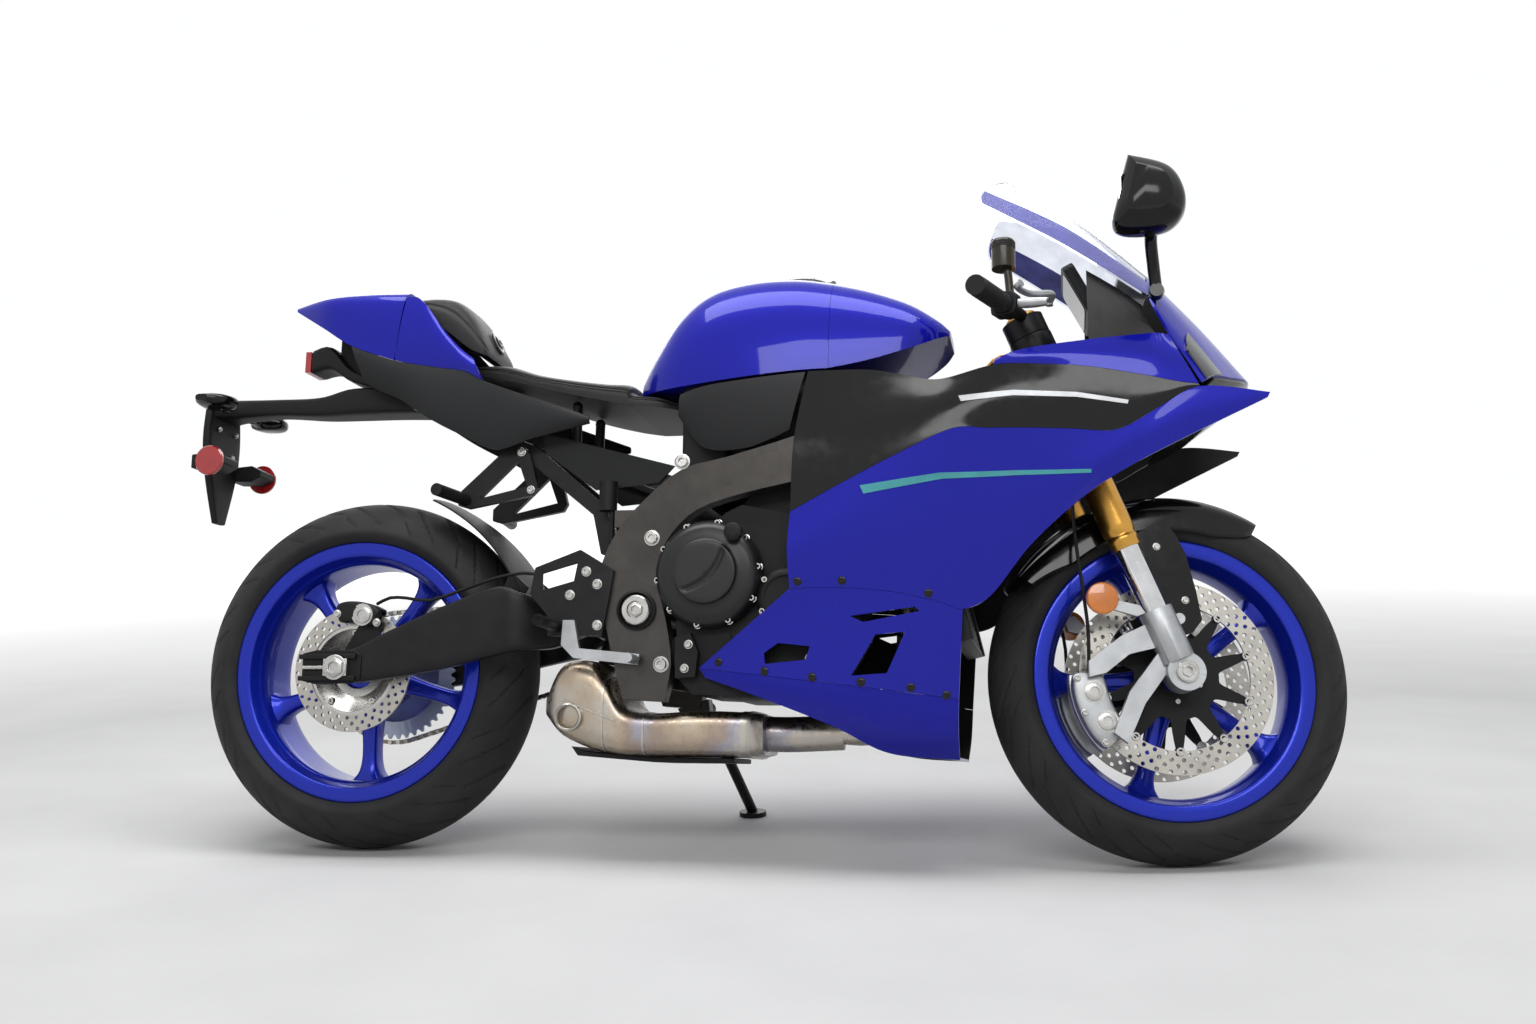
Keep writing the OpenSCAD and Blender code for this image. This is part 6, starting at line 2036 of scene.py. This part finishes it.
@dataclass
class Brakes:
    """Discs of both wheels with their carriers and fixings, and the rear sprocket."""

    front: Wheel
    rear: Wheel
    teeth: int = 43

    def build(self) -> None:
        """Place discs, carriers, bobbins and the sprocket."""
        f, r = self.front, self.rear
        ring = f.rotor(121, 160, 59.5, 64.5, 84, 4, 3.6).pair()
        place("front_rotors", ring, f.body, Paint.DISC, ["front_discs"], crease=30)
        hat = joined([f.lobed(48, 70, 126, 10, 57.6, 61.6),
                      revolve(((26, 52.3), (62, 52.3), (62, 60), (50, 61), (26, 60)), f.centre, 72)]).pair()
        place("front_carriers", hat, f.body, Paint.CASE)
        pins = joined([f.buttons(122, 10, 57, 66.2, 8.5), f.buttons(40, 5, 60, 64, 5, 36)]).pair()
        place("front_bobbins", pins, f.body, Paint.STEEL)
        disc = r.rotor(80, 110, -93, -88, 60, 3, 3.4)
        place("rear_rotor", disc, r.body, Paint.DISC, ["rear_disc"], crease=30)
        bell = revolve(((32, -62.3), (50, -62.3), (76, -86), (82, -88), (82, -91), (74, -91), (46, -68), (32, -68)),
                       r.centre, 72)
        place("rear_carrier", joined([bell, r.buttons(67, 5, -83, -91, 6)]), r.body, Paint.STEEL)
        a = np.linspace(0, 2 * np.pi, self.teeth * 8, endpoint=False)
        tooth = 113.2 + 4.0 * np.clip(1.4 * np.cos(a * self.teeth), -1, 1)
        rows = [circle(q, y, a) for q, y in ((84, 98), (tooth, 98.8), (tooth, 103.2), (84, 104))]
        cog = Surface(r.at_hub(np.stack(rows).reshape(-1, 3)), grid_quads(4, len(a), True, True)).outward()
        dish = revolve(((32, 62.3), (60, 62.3), (84, 97), (86, 99), (86, 103.6), (78, 104), (50, 72), (32, 72)),
                       r.centre, 72)
        place("sprocket", joined([cog, dish, r.buttons(92, 6, 103, 108, 6)]), r.body, Paint.SPROCKET, ["rear_sprocket"])


@dataclass
class Rear:
    """Chain, caliper, hugger, rests and pedals round the rear wheel."""

    chain_rear: float = 123.5
    chain_front: float = 48.5
    sprocket: tuple = (622.0, 436.0)
    links: int = 112
    chain_y: float = 101.0

    def line(self) -> Array:
        """Run the chain's pitch line round both sprockets: two arcs joined by their outer tangents.

        Returns:
            Points x, z, evenly spaced.
        """
        d = np.subtract(self.sprocket, REAR_HUB)
        reach, tilt = np.linalg.norm(d), math.atan2(d[1], d[0])
        off = math.acos((self.chain_rear - self.chain_front) / reach)
        big = np.linspace(tilt + off, tilt + 2 * math.pi - off, 240)
        small = np.linspace(tilt - off, tilt + off, 90)
        path = np.concatenate([
            np.array(hub) + radius * np.stack([np.cos(a), np.sin(a)], -1)
            for hub, radius, a in ((REAR_HUB, self.chain_rear, big), (self.sprocket, self.chain_front, small))])
        path = np.concatenate([path, path[:1]])
        s = np.concatenate([[0], np.cumsum(np.linalg.norm(np.diff(path, axis=0), axis=1))])
        at = np.arange(self.links) * s[-1] / self.links
        return np.stack([np.interp(at, s, path[:, 0]), np.interp(at, s, path[:, 1])], -1)

    def chain(self) -> tuple[Surface, Surface]:
        """Lay link plates and rollers along the pitch line, inner and outer plates by turns.

        Returns:
            The plates and the rollers.
        """
        pitch = self.line()
        a = np.linspace(0, 2 * np.pi, 20, endpoint=False)
        ahead = np.roll(pitch, -1, 0) - pitch
        length = np.linalg.norm(ahead, axis=1)
        unit = ahead / length[:, None]
        side = np.stack([-unit[:, 1], unit[:, 0]], -1)
        u = (np.cos(a) * 0.5 + 0.5)[None] * (length[:, None] + 9.4) - 4.7
        v = 4.1 * np.sign(np.sin(a)) * np.abs(np.sin(a)) ** 0.6 * (1 - 0.18 * np.exp(-((np.cos(a)) / 0.3) ** 2))
        x = pitch[:, :1] + unit[:, :1] * u + side[:, :1] * v[None]
        z = pitch[:, 1:] + unit[:, 1:] * u + side[:, 1:] * v[None]
        k = np.arange(len(pitch)) % 2
        plates = []
        for sign in (-1, 1):
            inner = self.chain_y + sign * np.where(k, 4.2, 5.8)
            for i in range(len(pitch)):
                ring = np.stack([np.stack([x[i], np.full(20, inner[i] + d), z[i]], -1) for d in (-0.75, 0.75)])
                plates.append(loft(ring))
        rolls = [revolve(((4, 94.2), (4, 107.8)), (px, pz), 10, closed=False) for px, pz in pitch]
        return joined(plates), joined(rolls)

    def caliper(self) -> tuple[Surface, Surface]:
        """Shape the rear caliper round its disc: two cheeks and a bridge, with a round piston cap.

        Returns:
            The body with its carrier, and the bright cap and pins.
        """
        parts = [sector((62, 104, 21), 0.25, box, 28, STANCE.rear_r)
                 for box in ((-116, -94.6, 83, 122), (-86, -78, 84, 121), (-108, -80, 115.5, 122))]
        parts.append(plate(((-26, 302), (-26, 330), (20, 410), (58, 400), (40, 330), (26, 300)), -99.7, -94.5))
        caps = joined([bolt((24, 412), -115, 5, 16), bolt((-24, 414), -115, 4, 6), bolt((52, 398), -115, 4, 6)])
        return joined(parts), caps

    def arch(self) -> Surface:
        """Sweep the hugger's curved section over the tyre, with its two legs.

        Returns:
            The hugger.
        """
        a = np.radians(np.linspace(22, 66, 30))[:, None]
        r, y = smooth(np.array([[334, -90], [338, -60], [341, 0], [338, 60], [334, 90]], float), 6).T
        outer, inner = (
            np.stack(np.broadcast_arrays((r + g) * np.cos(a), y, STANCE.rear_r + (r + g) * np.sin(a)), -1)
            for g in (3, 0))
        leg = plate(((262, 425), (282, 408), (300, 420), (322, 462), (304, 478), (288, 490)), 81, 87)
        peg = tube(np.linspace([280, 84, 425], [280, 117.4, 425], 3), 8, 20)
        return joined([shell(outer, inner), joined([leg, peg]).pair()])

    def rests(self) -> tuple[Surface, Surface]:
        """Shape the foot pegs with their grip rings, and the bolts of the heel plates.

        Returns:
            The pegs and the bolts.
        """
        pegs = []
        for p0, p1, size in (((402, 160, 384), (394, 236, 388), 10), ((200, 92, 620), (184, 190, 622), 11)):
            t = np.linspace(0, 1, 60)
            path = np.linspace(p0, p1, 60)
            pegs.append(tube(path, size - 0.6 + 0.6 * np.sign(np.sin(t * 60)) * (t > 0.25) * (t < 0.92), 24))
        heads = [bolt(at, 160, 6, 7, 1) for at in ((452, 478), (424, 438), (472, 456), (474, 386))]
        heads += [bolt((302, 706), 92, 5, 7, 1), bolt((322, 636), 92, 5, 6, 1)]
        return joined(pegs).pair(), joined(heads).pair()

    def build(self) -> None:
        """Place everything round the rear wheel."""
        plates, rolls = self.chain()
        place("chain_plates", plates, Body.CHASSIS, Paint.CHAIN, ["chain"], crease=40)
        place("chain_rollers", rolls, Body.CHASSIS, Paint.STEEL)
        body, caps = self.caliper()
        place("rear_caliper_body", body, Body.CHASSIS, Paint.ARM, ["rear_caliper"], bevel=1)
        place("rear_caliper_caps", caps, Body.CHASSIS, Paint.STEEL)
        place("hugger_arch", self.arch(), Body.CHASSIS, Paint.TEXTURED, ["hugger"])
        pegs, heads = self.rests()
        dress("footrests", Paint.ARM, 1.5)
        place("peg_grips", pegs, Body.CHASSIS, Paint.RUBBER)
        place("heel_bolts", heads, Body.CHASSIS, Paint.STEEL)
        dress("foot_controls", Paint.CAST, 1.5)
        dress("rear_brake_line", Paint.TEXTURED)


@dataclass
class Details:
    """Small things on the panels: stripe, bolts, vent lips, lamps, mirrors and dash.

    The mirror's outline has x and z from its middle, and its rows have y and the outline's size there.
    """

    panels: Fairing
    mirror_mid: tuple = (1398, 1040)
    mirror_outline: Rows = ((-34, 66), (28, 44), (52, 4), (48, -36), (14, -58), (-54, -52), (-48, 10))
    mirror_rows: Rows = ((254, 0.5), (262, 0.82), (290, 1), (325, 0.96), (346, 0.6))

    def skin_strip(self, grid: Array, top: Rows, low: Rows, lift: float, n: int = 24) -> Surface:
        """Lay a thin band on a panel between two lines given as x and z.

        Args:
            grid: The panel's fine grid.
            top: Points of the upper line.
            low: Points of the lower line.
            lift: Height over the panel.
            n: Steps between points.

        Returns:
            The band on both sides.
        """
        rows = []
        for line in (top, np.add(top, low) / 2, low):
            p = np.array(line, float)
            t = np.linspace(0, len(p) - 1, n * (len(p) - 1) + 1)
            spots = np.stack([np.interp(t, np.arange(len(p)), p[:, k]) for k in (0, 1)], -1)
            rows.append(on_skin(grid, spots))
        band = np.stack(rows)
        up = np.array([0, lift, 0])
        return shell(band + up, band - up * 0.5).pair()

    def mirror(self) -> tuple[Surface, Surface]:
        """Loft the left mirror's housing along y, with its stalk, and a glass on its rear face.

        Returns:
            Housing with stalk, and the glass.
        """
        o = smooth(np.array(self.mirror_outline + self.mirror_outline[:1], float), 8)[:-1]
        r = smooth(np.array(self.mirror_rows, float), 8)
        x, z = self.mirror_mid
        rings = np.stack(np.broadcast_arrays(x + o[:, 0] * r[:, 1:], r[:, :1], z + o[:, 1] * r[:, 1:]), -1)
        way = np.array([[1410.6, 191.8, 919.3], [1406, 206, 960], [1402, 232, 996], [1406, 268, 1010]])
        stalk = tube(smooth(way, 8), 10, 24)
        foot = revolve(((11, 178.8), (13, 187.8), (13, 195.8), (11, 204.8)), (1410.6, 919.3), 32, closed=False)
        y, rise = np.meshgrid(np.linspace(268, 330, 9), np.linspace(-40, 34, 9), indexing="ij")
        face = np.stack(np.broadcast_arrays(x - 46.5, y, z + rise), -1)
        thick = np.array([2.0, 0, 0])
        return joined([loft(rings), stalk, foot]).pair(), shell(face - thick, face + thick).pair()

    def screen(self) -> None:
        """Place the dash: its case and the dark glass on it, tipped towards the rider."""
        lean = tipped(1290, 970, 28)
        case, glass = (
            np.array([[[x, y, z] for y, z in ((-w, -h), (w, -h), (w, h), (-w, h))] for x in deep], float)
            for w, h, deep in ((84, 49, (-10, -4, 10)), (72, 38, (-11.4, -9))))
        place("dash_case", bar_loft(case, 0.25, 48).moved(lean), Body.CHASSIS, Paint.TEXTURED, ["dash"], bevel=2)
        place("dash_glass", bar_loft(glass, 0.2, 48).moved(lean), Body.CHASSIS, Paint.BLACK)

    def build(self) -> None:
        """Place every small piece."""
        f = self.panels
        upper, lower, infill = (fine_grid(rows, RIB_STEPS, 10) for rows in (f.side_upper, f.side_lower(), f.infill()))
        stripe = self.skin_strip(upper, ((930, 606), (1060, 622), (1180, 622), (1300, 620)),
                                 ((936, 592), (1064, 612), (1180, 614), (1300, 614)), 0.8)
        place("teal_band", stripe, Body.CHASSIS, Paint.TEAL)
        lip = self.skin_strip(infill[:91], ((1092, 748), (1180, 752), (1280, 744), (1360, 728)),
                              ((1096, 738), (1180, 743), (1280, 736), (1358, 722)), 2.0)
        place("duct_lip", lip, Body.CHASSIS, Paint.CAST)
        spots = np.array([[690, 322], [770, 306], [850, 296], [930, 288], [1010, 280], [1066, 268], [826, 452],
                          [900, 452], [1040, 430]])
        seat = on_skin(np.concatenate([lower[:41], upper[:41]], 1), spots)
        heads = joined([bolt((p[0], p[2]), p[1], 2.4, 6, 1) for p in seat]).pair()
        place("panel_bolts", heads, Body.CHASSIS, Paint.BLACK)
        patch = f.across(f.nose, False, 9, 9)[60:70, 9:19]
        lift = np.array([0.6, 0.5, 0.6])
        lens = shell(patch + lift * 4, patch + lift * 0.7).pair()
        place("lamp_lenses", lens, Body.CHASSIS, Paint.SMOKED, ["headlamps"])
        house, glass = self.mirror()
        place("mirror_housings", house, Body.CHASSIS, Paint.BLACK, ["mirrors"], crease=50)
        place("mirror_glasses", glass, Body.CHASSIS, Paint.CHROME)
        self.screen()
        dress("inner_cowl", Paint.TEXTURED)


def main() -> None:
    """Build the machine, then the room round it."""
    logging.basicConfig(level=logging.INFO, format="%(name)s %(message)s")
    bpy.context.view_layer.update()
    rear = Wheel("rear", Body.REAR_WHEEL, REAR_HUB, STANCE.rear_r, crown=95, bead=71, limit=68, hub_r=54,
                 hub_half=62, spoke_half=24, phase=272, pitch=15)
    front = Wheel("front", Body.FRONT_WHEEL, FRONT_HUB, STANCE.front_r, crown=62, bead=47, limit=72, hub_r=42,
                  hub_half=52, spoke_half=20, phase=254, pitch=15)
    for wheel in (rear, front):
        wheel.build()
    Brakes(front, rear).build()
    panels = Fairing()
    for part in (panels, Tank(), Tail(), Chassis(), Engine(), FrontEnd(), Rear(), Details(panels)):
        part.build()
    Studio().build()


if __name__ == "__main__":
    main()
